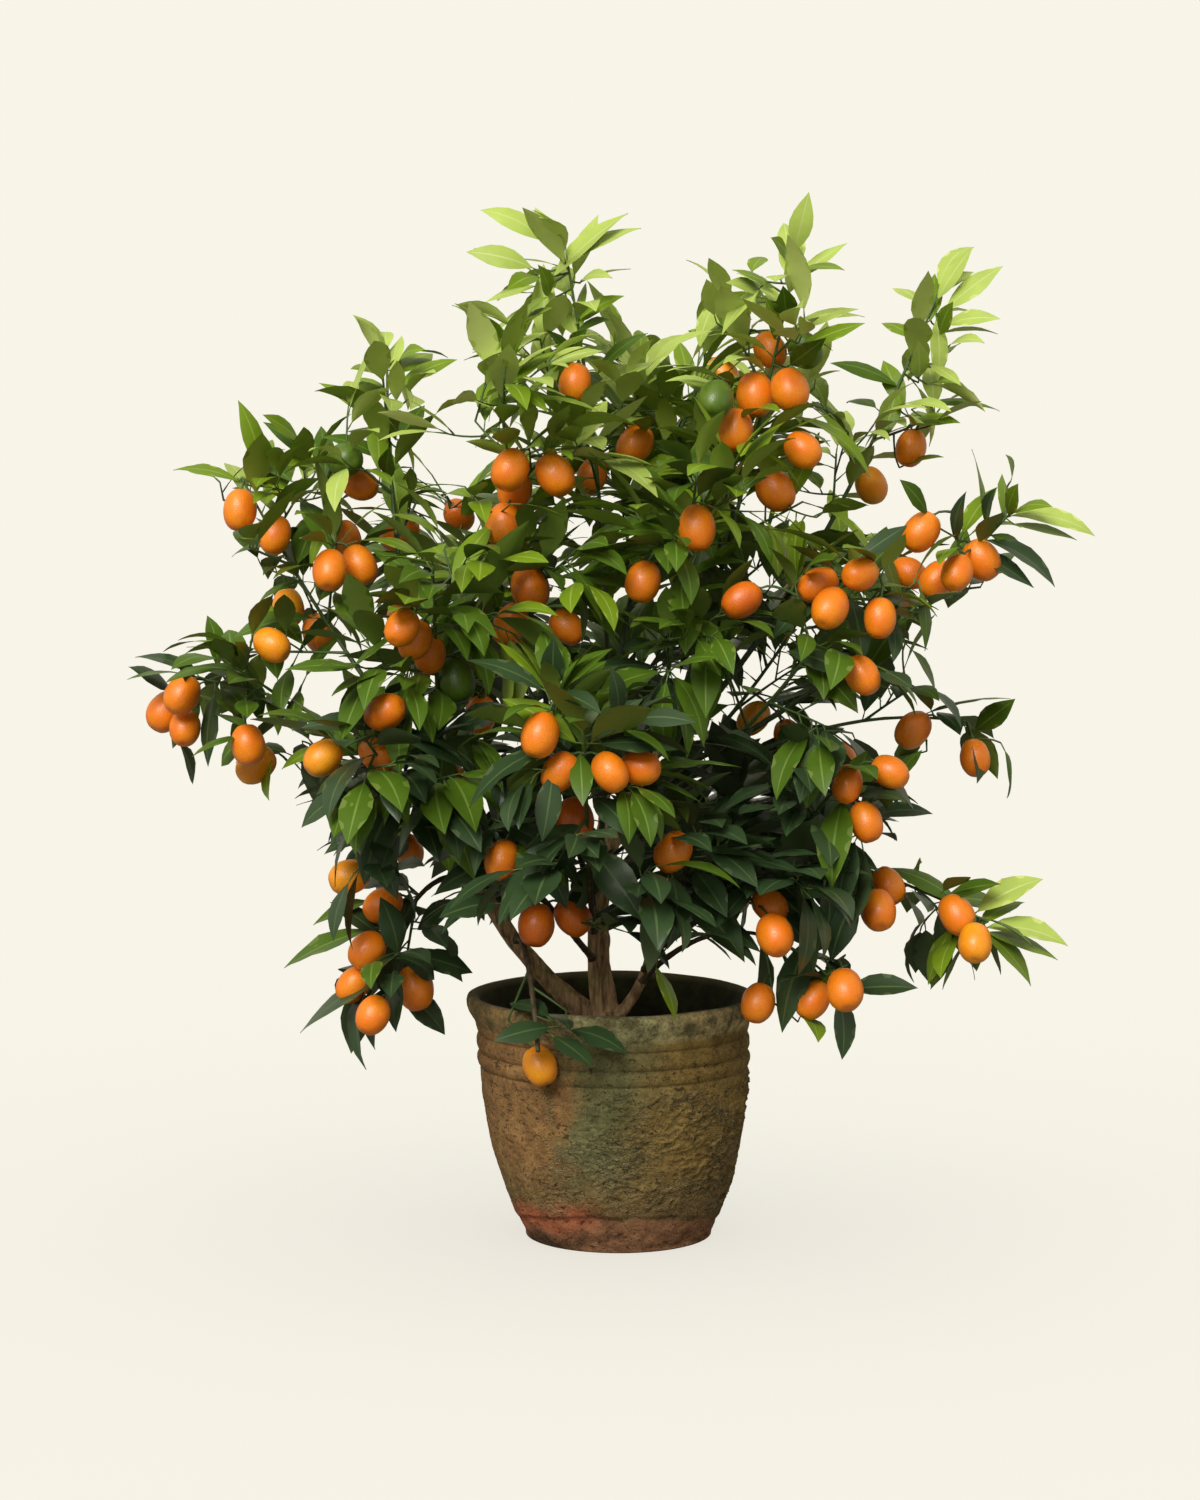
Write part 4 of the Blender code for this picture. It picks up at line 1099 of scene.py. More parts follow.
def wood_shown_at(wood, across, down):
    """The place on the wood, and its shoot, that shows nearest to a pixel. Finer twigs count as further."""
    def misfit(spot):
        shoot, x, y = spot[1:]
        return math.hypot(x - across, y - down) + FINE_TWIG_COST * shoot.order

    return min(wood, key=misfit)[:2]


def place_seen_leaves(garden, branch, shoots):
    """The leaves of a branch that show on their own, on the photograph's lines of sight."""
    rng = random.Random("seen leaves " + branch.name)
    wood = [(place, shoot, *pixel_of(place)[:2]) for place, shoot in spots_on(shoots, SPOT_SPACING)]
    stalks = []
    for age, leaves in LEAVES_SEEN.get(branch.name, {}).items():
        for across, down, tip_across, tip_down, width in leaves:
            place, shoot = wood_shown_at(wood, across, down)
            sight = sight_line(across, down)
            far = (place - CAMERA_PLACE).dot(sight)
            root = CAMERA_PLACE + sight * far
            tip = CAMERA_PLACE + sight_line(tip_across, tip_down) * far
            seen_length = (tip - root).length
            depth = math.sqrt(max(0, SHORTEST_BLADE ** 2 - seen_length ** 2))
            tip += sight * depth * rng.choice((-1, -1, 1))
            leaf = lay_leaf(rng, root, tip, width * far / FOCAL_PIXELS)
            samples = leaf_samples(leaf)
            if not all(garden.inside(point) for point in samples):
                continue
            stalk_foot = root - leaf.direction * min(STALK_LENGTH, (root - place).length)
            if (stalk_foot - place).length > STALK_LENGTH:
                middle = place.lerp(stalk_foot - leaf.direction * 0.3 * (stalk_foot - place).length, 0.7)
                twig = Shoot(trail(place, middle, stalk_foot, 5), TWIG_TIP, STALK_RADIUS, 2, shoot)
                twig.keep(stalk_foot)
                stalks.append(twig)
            else:
                stalk_foot = place
                shoot.keep(place)
            garden.leaf_crowd.add(samples)
            plant_leaf(garden, stalk_foot, leaf, AGES.index(age))
    return stalks


def plant_leaf(garden, place, leaf, age):
    """Adds a leaf and its stalk. A new batch is begun before one has too many triangles for a piece."""
    if len(garden.leaves[-1].corners) > MOST_CORNERS:
        garden.leaves.append(Batch())
    add_blade(garden.leaves[-1], leaf, age)
    stalk = trail(place, place.lerp(leaf.root, 0.5), leaf.root + leaf.direction * 0.002, 3)
    sweep(garden.twigs, stalk, (STALK_RADIUS, STALK_RADIUS, STALK_RADIUS * 0.6), 4, 1)


# Fruit

def add_fruit(garden, rng, centre, axis, size, ripeness):
    """An oval fruit whose stalk end looks along the axis, a little lumpy and hollow at each end."""
    length, radius = FRUIT_LENGTH * size, FRUIT_RADIUS * size * rng.uniform(*FRUIT_GIRTH)
    turn = axis.to_track_quat("Z", "Y").to_matrix() @ Matrix.Rotation(rng.uniform(0, math.tau), 3, "Z")
    seed = Vector((rng.uniform(0, 50), 0, 0))
    corners = []
    for ring in range(FRUIT_RINGS + 1):
        slope = math.pi * ring / FRUIT_RINGS
        level, rise = math.sin(slope), math.cos(slope)
        full = abs(level) ** FRUIT_BLUNTNESS if 0 < ring < FRUIT_RINGS else 0.02
        height = rise * length / 2 * (1 - FRUIT_HOLLOW * math.exp(-((level / HOLLOW_WIDTH) ** 2)))
        for k in range(FRUIT_SEGMENTS):
            spread = 2 * math.pi * k / FRUIT_SEGMENTS
            out = Vector((math.cos(spread) * level, math.sin(spread) * level, rise))
            lump = 1 + FRUIT_LUMPS * noise.noise(out * 1.3 + seed)
            flat = Vector((math.cos(spread), math.sin(spread), 0)) * radius * full
            corners.append(centre + turn @ ((flat + UP * height) * lump))
    faces = [face[::-1] for face in grid_faces(FRUIT_RINGS + 1, FRUIT_SEGMENTS, closed=True)]
    garden.fruit.add(corners, faces, [RIPENESS.index(ripeness)] * len(faces))
    add_calyx(garden, centre + axis * length * 0.47, turn, size)
    for half in (axis, -axis):
        garden.fruit_places.append((centre + half * length * 0.2, radius + FRUIT_SKIN))


def add_calyx(garden, place, turn, size):
    """A five-lobed green star on the stalk end of a fruit."""
    points = 2 * CALYX_LOBES
    corners = [place + turn @ Vector((0, 0, CALYX_HEIGHT))]
    for k in range(points):
        spread = math.tau * k / points
        reach = CALYX_RADIUS * size * (1, CALYX_HOLLOW)[k % 2]
        corner = Vector((math.cos(spread) * reach, math.sin(spread) * reach, CALYX_DROPS[k % 2]))
        corners.append(place + turn @ corner)
    faces = [(0, 1 + k, 1 + (k + 1) % points) for k in range(points)]
    garden.calyxes.add(corners, faces, [0] * len(faces))


def fruit_is_clear(garden, centre):
    return all((centre - place).length > reach + FRUIT_CLEARANCE for place, reach in garden.fruit_places)


def wood_to_hang_from(wood, sight):
    """The place on the wood, and its shoot, a stalk's length off a line of sight and best above it."""
    def misfit(spot):
        place = spot[0]
        nearest = CAMERA_PLACE + sight * (place - CAMERA_PLACE).dot(sight)
        return abs((place - nearest).length - FRUIT_HANG) + 0.5 * max(0, nearest.z + FRUIT_BELOW - place.z)

    return min(wood, key=misfit)


def hang_seen_fruit(garden, branch, shoots):
    """Fruit on the photograph's own lines of sight, each on a stalk from the wood of its branch."""
    rng = random.Random("fruit " + branch.name)
    wood = spots_on(shoots, FRUIT_SPOTS)
    stalks = []
    for across, down, *ripeness in FRUIT_SEEN.get(branch.name, ()):
        sight = sight_line(across, down)
        place, shoot = wood_to_hang_from(wood, sight)
        depth = (place - CAMERA_PLACE).dot(sight)
        centres = [CAMERA_PLACE + sight * (depth + shift) for shift in FRUIT_SHIFTS]
        centre = next((spot for spot in centres if fruit_is_clear(garden, spot)), centres[0])
        axis = ((place - centre).normalized() * 0.9 + UP * 0.5).normalized()
        size = rng.uniform(*FRUIT_SIZES)
        add_fruit(garden, rng, centre, axis, size, ripeness[0] if ripeness else "ripe")
        garden.add_seen_fruit(centre)
        stalks.append(fruit_stalk(place, centre, axis, size, shoot))
    return stalks


def fruit_stalk(place, centre, axis, size, shoot):
    """The stalk of a fruit. A long one is a twig that can carry leaves."""
    top = centre + axis * FRUIT_LENGTH * size * FRUIT_ON_STALK
    path = trail(place, top + axis * (top - place).length * STALK_CURL, top, 6)
    stalk = Shoot(path, FRUIT_STALK * FRUIT_STALK_AT_WOOD, FRUIT_STALK, 2, shoot)
    stalk.keep(top)
    return stalk


def hang_hidden_fruit(garden, branch, shoots):
    """Fruit in small clusters that hang from a branch's twigs, where the photograph doesn't show them."""
    rng = random.Random("hidden fruit " + branch.name)
    hung = 0
    stalks = []
    for _ in range(branch.fruits * HIDDEN_TRIES):
        shoot = rng.choice(shoots)
        place = along(shoot.path, rng.uniform(0.3, 0.9))[0]
        axis = spin(UP, rng.uniform(0, math.tau), math.radians(rng.uniform(*HIDDEN_LEAN)))
        centre = place - axis * (FRUIT_LENGTH / 2 + HIDDEN_HANG)
        clear = fruit_is_clear(garden, centre) and garden.inside(centre - axis * FRUIT_LENGTH / 2)
        if hung < branch.fruits and clear and garden.is_behind(centre):
            size = rng.uniform(*FRUIT_SIZES)
            add_fruit(garden, rng, centre, axis, size, rng.choice(HIDDEN_RIPENESS))
            stalks.append(fruit_stalk(place, centre, axis, size, shoot))
            hung += 1
    return stalks


# Wood

def bark_relief(place, turn, done, radius):
    """Ridges that run along a stem, with a few knots."""
    around = Vector((math.cos(turn) * 2.2, math.sin(turn) * 2.2, done * 32))
    ridges = 1 - 2 * abs(noise.noise(around * 1.5 + Vector((9, 0, 0))))
    knots = max(0, noise.noise(place * 55) - 0.35)
    lumps = noise.noise(place * 120)
    return radius * (0.10 * ridges + 0.5 * knots + 0.05 * lumps)


def shoot_relief(place, turn, done, radius):
    """Slight swellings along a green bough, where leaves once stood."""
    joint = max(0, math.cos(done / JOINT_SPACING * math.tau)) ** 6
    return radius * (0.13 * joint + 0.08 * noise.noise(place * 150) + 0.05 * math.cos(3 * turn + 40 * done))


def make_wood(paths):
    """The trunk's flared foot and the stems as one piece, with ridges and knots in their bark."""
    batch = Batch()
    foot = TRUNK_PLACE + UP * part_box("trunk")[0].z
    heights, radii = zip(*TRUNK_FOOT)
    sweep(batch, [foot + UP * height for height in heights], radii, TRUNK_SIDES, 0)
    for stem in STEMS:
        path = rings_on(paths[stem.name], STEM_RINGS)
        heading = (path[1] - path[0]).normalized()
        path = [path[0] - heading * stem.thick * sink for sink in STEM_SINK] + path
        extra = len(STEM_SINK)
        radii = []
        for i in range(len(path)):
            share = max(0, i - extra) / (len(path) - 1 - extra)
            swell = 1 + STEM_SWELL * math.exp(-((share / STEM_SWELL_END) ** 2))
            radii.append((stem.thick + (stem.thin - stem.thick) * share) * swell)
        sweep(batch, path, radii, STEM_SIDES, 0, bark_relief)
    names = ["trunk"] + ["stem_" + stem.name for stem in STEMS]
    make_piece("trunk_and_stems", batch, [make_bark()], names)


def make_boughs(paths):
    """The boughs, each swollen where it leaves its stem. A branch without one has its leafy stem here."""
    batch = Batch()
    for branch in BRANCHES:
        path = rings_on(paths[branch.name], BOUGH_RINGS)
        tip = 1 if branch.name in LEAFY_TO_THE_STEM else branch.bare + BOUGH_OVERLAP
        shown = path[: round((len(path) - 1) * tip) + 1]
        radii = tapered(BOUGH_RADIUS, SHOOT_RADIUS, len(shown))
        for i, radius in enumerate(radii):
            radii[i] = radius * (1 + COLLAR_SWELL * math.exp(-((i * BOUGH_RINGS / COLLAR_LENGTH) ** 2)))
        sweep(batch, shown, radii, BOUGH_SIDES, 0, shoot_relief)
    names = ["bough_" + branch.name for branch in BRANCHES if branch.name not in LEAFY_TO_THE_STEM]
    make_piece("boughs", batch, [make_bough_bark()], names)


# The pot: its outside and inside as (height, radius), how it leans to one side, and where its red foot ends

POT_STEPS = 480
POT_ROWS = 0.0012
POT_INNER_ROWS = 0.004
POT_OUTER = (
    (0.0, 0.0712), (0.003, 0.0732), (0.0085, 0.0756), (0.0145, 0.0780), (0.0185, 0.0796),
    (0.0262, 0.0821), (0.036, 0.0856), (0.0457, 0.0888), (0.056, 0.0918), (0.0671, 0.0947),
    (0.0866, 0.0985), (0.1099, 0.1014), (0.124, 0.1023), (0.1285, 0.1024), (0.1305, 0.1016),
    (0.1325, 0.1034), (0.136, 0.1044), (0.139, 0.1042), (0.1410, 0.1030), (0.1424, 0.1016),
    (0.144, 0.1031), (0.147, 0.1042), (0.152, 0.1043), (0.1545, 0.1034), (0.1562, 0.1018),
    (0.158, 0.1034), (0.161, 0.1042), (0.1642, 0.1046), (0.168, 0.1066), (0.172, 0.1090),
    (0.1765, 0.1106), (0.181, 0.1109), (0.1838, 0.1098), (0.185, 0.1075),
)
POT_INNER = ((0.185, 0.1045), (0.183, 0.1020), (0.176, 0.0985), (0.160, 0.0955), (0.140, 0.0940))
POT_LEAN = (0.003, -0.027)
BAND_HEIGHTS = (0.15, 0.185)
BELLY_TOP = (0.130, 0.122)
FOOT_TOP = 0.016
FOOT_RISE = 0.014
FOOT_FRONT = (-0.02, -0.085)


def trace(profile, spacing):
    """A profile of (height, radius) as evenly spaced points with the radius along X."""
    points = [Vector((radius, 0, height)) for height, radius in profile]
    path = []
    for a, b in zip(points, points[1:]):
        count = max(1, round((b - a).length / spacing))
        path += [a.lerp(b, i / count) for i in range(count)]
    return path + [points[-1]]


def ramp(value, low, high):
    """0 at low, 1 at high, and a straight rise between them."""
    return min(1, max(0, (value - low) / (high - low)))


def ridges(place, stretch, seed):
    """Thin crooked ridges, 0 to 1, that run mostly level."""
    warp = 0.5 * noise.noise(place * 90 + Vector((seed, 0, 0)))
    spot = Vector((place.x * stretch, place.y * stretch, place.z * stretch * 2 + warp + seed))
    return max(0, 1 - 5 * abs(noise.noise(spot))) ** 1.5


def pot_relief(place):
    """How far the clay stands out: waves, a curled crust where moss grew, pits and a ragged foot."""
    wobble = 0.0007 * noise.noise(place * 14) + 0.0006 * noise.noise(place * 38)
    top = FOOT_TOP + FOOT_RISE * ramp(place.y, *FOOT_FRONT) + 0.003 * noise.noise(place * 45)
    foot = (1 - ramp(place.z, top - 0.001, top + 0.0014)) * (0.0011 * noise.noise(place * 95) - 0.0015)
    belly = ramp(place.z, top, top + 0.006) * ramp(place.z, *BELLY_TOP)
    mossy = 0.25 + 0.75 * ramp(place.x + 0.3 * place.y, -0.075, -0.035)
    patch = ramp(noise.noise(place * 26 + Vector((4, 0, 0))), -0.35, 0.05)
    crust = max(ridges(place, 60, 0), 0.8 * ridges(place, 105, 7))
    lumps = max(0, noise.noise(place * 120 + Vector((0, 3, 0)))) * 0.0012
    pits = ramp(noise.noise(place * 230 + Vector((0, 7, 0))), 0.35, 0.6) * 0.0009
    grain = 0.0003 * noise.noise(place * 380)
    return wobble + grain + foot + belly * (patch * mossy * (0.0021 * crust + lumps) - pits * (1.3 - mossy))


def make_pot():
    outer = trace(POT_OUTER, POT_ROWS)
    profile = outer + trace(POT_INNER, POT_INNER_ROWS)
    corners = []
    for point in profile:
        for k in range(POT_STEPS):
            turn = 2 * math.pi * k / POT_STEPS
            out = Vector((math.cos(turn), math.sin(turn), 0))
            relief = pot_relief(out * point.x + UP * point.z) * min(1, point.z / 0.003)
            dip = 0.0010 * noise.noise(out * 1.6) * ramp(point.z, *BAND_HEIGHTS)
            shift = POT_LEAN[0] + POT_LEAN[1] * point.z
            corners.append(out * (point.x + relief) + UP * (point.z + dip) + Vector((shift, 0, 0)))
    faces = grid_faces(len(profile), POT_STEPS, closed=True)
    outside = (len(outer) - 1) * POT_STEPS
    batch = Batch()
    batch.add(corners, faces, [int(i >= outside) for i in range(len(faces))])
    base = len(corners)
    batch.corners.append(Vector((0, 0, 0)))
    batch.faces += [((k + 1) % POT_STEPS, k, base) for k in range(POT_STEPS)]
    batch.slots += [0] * POT_STEPS
    make_piece("clay_pot", batch, [make_clay(), make_inner_clay()], ["pot"])


SOIL_RADIUS = 0.0945
SOIL_RINGS = 70
SOIL_STEPS = 180
SOIL_HEAP = 0.004
HEAP_RADIUS = 0.03
SOIL_SINK = 0.001


def make_soil():
    """Potting soil with crumbs, a little higher round the trunk."""
    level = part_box("soil")[1].z
    batch = Batch()
    corners = [Vector((0, 0, level + 0.002))]
    for ring in range(1, SOIL_RINGS + 1):
        radius = SOIL_RADIUS * ring / SOIL_RINGS
        for k in range(SOIL_STEPS):
            turn = 2 * math.pi * k / SOIL_STEPS
            place = Vector((radius * math.cos(turn), radius * math.sin(turn), 0))
            crumbs = 0.0016 * noise.noise(place * 190) + 0.0022 * noise.noise(place * 60)
            heap = SOIL_HEAP * math.exp(-(((place - TRUNK_PLACE).length / HEAP_RADIUS) ** 2))
            corners.append(place + UP * (level + crumbs + heap - SOIL_SINK))
    faces = [(0, 1 + k, 1 + (k + 1) % SOIL_STEPS) for k in range(SOIL_STEPS)]
    faces += [tuple(1 + i for i in face) for face in grid_faces(SOIL_RINGS, SOIL_STEPS, closed=True)]
    batch.add(corners, faces, [0] * len(faces))
    make_piece("potting_soil", batch, [make_earth()], ["soil"])


# Materials

class Look:
    """A procedural material, built node by node round its Principled shader."""

    def __init__(self, name, roughness, **sockets):
        self.material = bpy.data.materials.new(name)
        self.material.use_nodes = True
        self.tree = self.material.node_tree
        self.shader = self.tree.nodes["Principled BSDF"]
        self.shader.inputs["Roughness"].default_value = roughness
        for socket, value in sockets.items():
            self.shader.inputs[socket.replace("_", " ")].default_value = value
        self.place = self.tree.nodes.new("ShaderNodeTexCoord").outputs["Object"]

    def node(self, kind, inputs, **settings):
        node = self.tree.nodes.new(kind)
        for name, value in settings.items():
            setattr(node, name, value)
        for name, value in inputs.items():
            if isinstance(value, bpy.types.NodeSocket):
                self.tree.links.new(value, node.inputs[name])
            else:
                node.inputs[name].default_value = value
        return node

    def noise(self, scale, detail=4, stretch=(1, 1, 1), roughness=0.6, distortion=0.0):
        place = self.node("ShaderNodeMapping", {"Vector": self.place, "Scale": stretch}).outputs["Vector"]
        values = {"Vector": place, "Scale": scale, "Detail": detail, "Roughness": roughness}
        return self.node("ShaderNodeTexNoise", {**values, "Distortion": distortion}).outputs["Fac"]

    def cells(self, scale):
        return self.node("ShaderNodeTexVoronoi", {"Vector": self.place, "Scale": scale}).outputs["Distance"]

    def steps(self, factor, low, high):
        """The factor's range from low to high, stretched to 0 to 1."""
        values = {"Value": factor, "From Min": low, "From Max": high}
        return self.node("ShaderNodeMapRange", values, clamp=True).outputs["Result"]

    def mix(self, factor, first, second):
        node = self.tree.nodes.new("ShaderNodeMix")
        node.data_type = "RGBA"
        self.tree.links.new(factor, node.inputs[0])
        for socket, value in ((node.inputs[6], first), (node.inputs[7], second)):
            if isinstance(value, bpy.types.NodeSocket):
                self.tree.links.new(value, socket)
            else:
                socket.default_value = (*value, 1)
        return node.outputs[2]

    def math(self, operation, first, second):
        return self.node("ShaderNodeMath", {0: first, 1: second}, operation=operation).outputs["Value"]

    def plus(self, first, second):
        return self.math("ADD", first, second)

    def minus(self, first, second):
        return self.math("SUBTRACT", first, second)

    def times(self, first, second):
        return self.math("MULTIPLY", first, second)

    def axis(self, name):
        return self.node("ShaderNodeSeparateXYZ", {"Vector": self.place}).outputs[name]

    def colour(self, tone):
        self.tree.links.new(tone, self.shader.inputs["Base Color"])

    def bump(self, height, strength, distance):
        values = {"Height": height, "Strength": strength, "Distance": distance}
        normal = self.node("ShaderNodeBump", values).outputs["Normal"]
        self.tree.links.new(normal, self.shader.inputs["Normal"])


def tinted(colour, share):
    return tuple(min(1, channel * share) for channel in colour)


def speckled(name, roughness, scale, dark, light, grain=None, strength=0.3, distance=0.0004, **texture):
    """A plain look: soft specks of two tones, and a fine grain where one is given."""
    look = Look(name, roughness)
    look.colour(look.mix(look.noise(scale), dark, light))
    if grain:
        look.bump(look.noise(grain, **texture), strength, distance)
    return look.material


def make_leaf_looks():
    """Blade, rib and underside for each age, in that order, as the leaves' slots expect."""
    looks = []
    for age, look in LEAF_LOOKS.items():
        blade = Look("leaf_" + age, look.roughness, Specular_IOR_Level=look.specular)
        cloud = blade.steps(blade.noise(28, detail=3), 0.3, 0.7)
        blade.colour(blade.mix(cloud, tinted(look.blade, 0.86), tinted(look.blade, 1.14)))
        blade.bump(blade.noise(420, detail=2), 0.25, 0.0004)
        rib = speckled("leaf_rib_" + age, 0.5, 60, tinted(look.rib, 0.8), tinted(look.rib, 1.2))
        # The young ages' underside tones carry painted light shining through the leaf, over their own paler
        # green
        dark, light = tinted(look.under, 0.85), tinted(look.under, 1.15)
        under = speckled("leaf_underside_" + age, 0.6, 40, dark, light, grain=300, detail=3)
        looks += [blade.material, rib, under]
    return looks


def make_twig_looks():
    """Green shoots, and the paler stalks of leaves."""
    grain = {"grain": 500, "strength": 0.4, "distance": 0.0005, "stretch": (1, 1, 0.3)}
    shoot = speckled("green_shoot", 0.5, 70, (0.03, 0.07, 0.015), (0.08, 0.14, 0.03), **grain)
    return [shoot, speckled("leaf_stalk", 0.5, 80, (0.07, 0.13, 0.03), (0.14, 0.22, 0.05), grain=500)]


def make_fruit_looks():
    """A rind with oil glands: darker dimples, fine grain and a soft gloss."""
    looks = []
    for name, (light, dark) in FRUIT_LOOKS.items():
        look = Look("rind_" + name, 0.36, Coat_Weight=0.25, Coat_Roughness=0.3)
        cloud = look.steps(look.noise(55, detail=3), 0.38, 0.68)
        colour = look.mix(cloud, dark, light)
        glands = look.steps(look.cells(1050), 0.1, 0.55)
        look.colour(look.mix(glands, tinted(dark, 0.9), colour))
        look.bump(glands, 0.35, 0.0004)
        looks.append(look.material)
    return looks


def make_calyx_look():
    return speckled("calyx", 0.6, 300, (0.05, 0.10, 0.02), (0.16, 0.20, 0.05), grain=600, strength=0.4)


def make_bark():
    """Fibrous brown bark: pale ridges, dark furrows along the stem, a few greener patches."""
    look = Look("fibrous_bark", 0.85)
    fibres = look.noise(260, detail=6, stretch=(1, 1, 0.16), distortion=0.4)
    patches = look.noise(30, detail=3)
    # The bark's tones are lightened to offset the crown's shade on the stems: painted light over the bark's
    # own brown
    brown = look.mix(look.steps(fibres, 0.36, 0.66), (0.19, 0.105, 0.052), (0.76, 0.49, 0.27))
    green = look.mix(look.steps(fibres, 0.36, 0.66), (0.15, 0.110, 0.046), (0.55, 0.43, 0.19))
    look.colour(look.mix(look.steps(patches, 0.48, 0.66), brown, green))
    look.bump(fibres, 0.8, 0.0014)
    return look.material


def make_bough_bark():
    look = Look("bough_bark", 0.6)
    streaks = look.noise(200, detail=4, stretch=(1, 1, 0.25))
    young = look.mix(look.steps(streaks, 0.35, 0.7), (0.016, 0.034, 0.008), (0.05, 0.085, 0.02))
    old = look.mix(look.steps(streaks, 0.35, 0.7), (0.04, 0.025, 0.012), (0.12, 0.085, 0.04))
    height = look.steps(look.axis("Z"), 0.24, 0.36)
    look.colour(look.mix(height, old, young))
    look.bump(streaks, 0.5, 0.0008)
    return look.material


def contours(look, scale, width, seed):
    """Crooked lines that run mostly level, where a noise is at its middle value."""
    field = look.noise(scale + seed, detail=2, stretch=(1, 1, 2.1), distortion=1.3)
    return look.steps(look.math("ABSOLUTE", look.minus(field, 0.5), 0.0), width, 0.0)


def foot_tones(look, clay, spread, side, low):
    """The ragged red edge and the dusty foot of the pot, stained dark on its left, over the clay so far."""
    front = look.times(look.steps(look.axis("Y"), *FOOT_FRONT), FOOT_RISE)
    above = look.minus(low, look.plus(front, FOOT_TOP))
    dust = look.mix(spread, (0.130, 0.058, 0.028), (0.33, 0.160, 0.080))
    red = look.mix(spread, (0.27, 0.085, 0.036), (0.50, 0.150, 0.070))
    left = look.steps(side, -0.012, -0.034)
    clay = look.mix(look.times(left, look.steps(above, 0.014, 0.002)), clay, red)
    dust = look.mix(look.times(left, look.steps(above, -0.016, -0.006)), dust, red)
    stain = look.times(look.steps(side, -0.022, -0.040), look.steps(above, -0.012, -0.020))
    dust = look.mix(stain, dust, (0.045, 0.022, 0.009))
    return look.mix(look.steps(above, -0.001, 0.0015), dust, clay), above


def lip_tones_painted_lighter(look, clay, blotch, side):
    """The rim: tan, then grey-green, then pale straw from left to right, with dark blotches."""
    # The lip's tones are painted lighter than its clay to offset the shade under its downward-facing flare:
    # painted light over its own tan, grey-green and straw
    lip = look.mix(look.steps(side, -0.055, -0.030), (0.42, 0.260, 0.105), (0.44, 0.42, 0.20))
    lip = look.mix(look.steps(side, 0.010, 0.065), lip, (0.72, 0.55, 0.26))
    lip = look.mix(look.steps(blotch, 0.62, 0.40), lip, tinted((0.15, 0.13, 0.06), 0.8))
    return look.mix(look.steps(look.axis("Z"), 0.162, 0.167), clay, lip)


def crust_on(look, side, above):
    """Where the curled crust of old moss stands on the belly of the pot."""
    mossy = look.steps(look.noise(21, detail=3), 0.42, 0.56)
    crusty = look.times(look.steps(side, -0.060, -0.030), mossy)
    crusty = look.times(crusty, look.steps(look.axis("Z"), 0.131, 0.122))
    crusty = look.times(crusty, look.steps(above, 0.0, 0.006))
    lines = look.math("MAXIMUM", contours(look, 58, 0.045, 0), contours(look, 105, 0.05, 3))
    return look.times(lines, crusty)


def make_clay():
    """Old terracotta: tan on the bare side, then grey-green, olive beyond, and dusty at the foot."""
    look = Look("weathered_clay", 0.9, Specular_IOR_Level=0.25)
    fine = look.noise(620, detail=5, roughness=0.75)
    cloud = look.noise(17, detail=5, distortion=0.6)
    blotch = look.noise(70, detail=6, roughness=0.74)
    spread = look.steps(blotch, 0.34, 0.66)
    tan = look.mix(spread, (0.175, 0.090, 0.032), (0.37, 0.205, 0.076))
    moss = look.mix(spread, (0.092, 0.090, 0.035), (0.205, 0.195, 0.084))
    olive = look.mix(spread, (0.120, 0.076, 0.019), (0.300, 0.195, 0.057))
    earthy = look.mix(spread, (0.135, 0.084, 0.026), (0.27, 0.175, 0.07))
    drift = look.minus(cloud, 0.5)
    side = look.plus(look.axis("X"), look.times(drift, 0.09))
    low = look.plus(look.axis("Z"), look.times(drift, 0.03))
    clay = look.mix(look.steps(side, -0.048, -0.028), tan, moss)
    clay = look.mix(look.steps(side, -0.002, 0.040), clay, olive)
    clay = look.mix(look.steps(low, 0.075, 0.035), clay, earthy)
    clay, above = foot_tones(look, clay, spread, side, low)
    clay = lip_tones_painted_lighter(look, clay, blotch, side)
    crust = crust_on(look, side, above)
    # The crust's ridges are painted paler: a painted highlight on their lit tops
    clay = look.mix(look.times(crust, 0.45), clay, (0.34, 0.29, 0.16))
    clay = look.mix(look.steps(fine, 0.60, 0.72), clay, (0.42, 0.35, 0.22))
    clay = look.mix(look.steps(fine, 0.45, 0.32), clay, (0.040, 0.028, 0.012))
    strokes = look.steps(look.noise(150, detail=3, stretch=(1, 1, 1.8), distortion=0.8), 0.61, 0.67)
    strokes = look.times(strokes, look.steps(look.axis("Z"), 0.160, 0.150))
    pits = look.math("MAXIMUM", look.steps(look.cells(300), 0.17, 0.07), strokes)
    look.colour(look.mix(look.times(pits, 0.8), clay, (0.050, 0.032, 0.012)))
    grain = look.plus(look.times(fine, 0.6), look.times(blotch, 1.2))
    height = look.plus(grain, look.times(crust, 0.9))
    look.bump(look.minus(height, look.times(pits, 0.8)), 1.0, 0.0016)
    return look.material


def make_inner_clay():
    """The pot's inside: mossy tones painted near black as painted shade, paler just under its rim."""
    look = Look("damp_clay", 0.9)
    blotch = look.noise(60, detail=6, roughness=0.72)
    # These mossy tones are darkened to near black: painted shade inside the pot
    moss = look.mix(look.steps(blotch, 0.45, 0.65), (0.030, 0.026, 0.014), (0.050, 0.065, 0.016))
    look.colour(look.mix(look.steps(look.axis("Z"), 0.180, 0.184), moss, (0.15, 0.125, 0.062)))
    look.bump(blotch, 0.8, 0.0015)
    return look.material


def make_earth():
    look = Look("dark_earth", 0.95)
    crumbs = look.noise(260, detail=6, roughness=0.7)
    look.colour(look.mix(look.steps(crumbs, 0.35, 0.7), (0.010, 0.007, 0.004), (0.06, 0.042, 0.026)))
    look.bump(crumbs, 1.0, 0.003)
    return look.material


# The stage

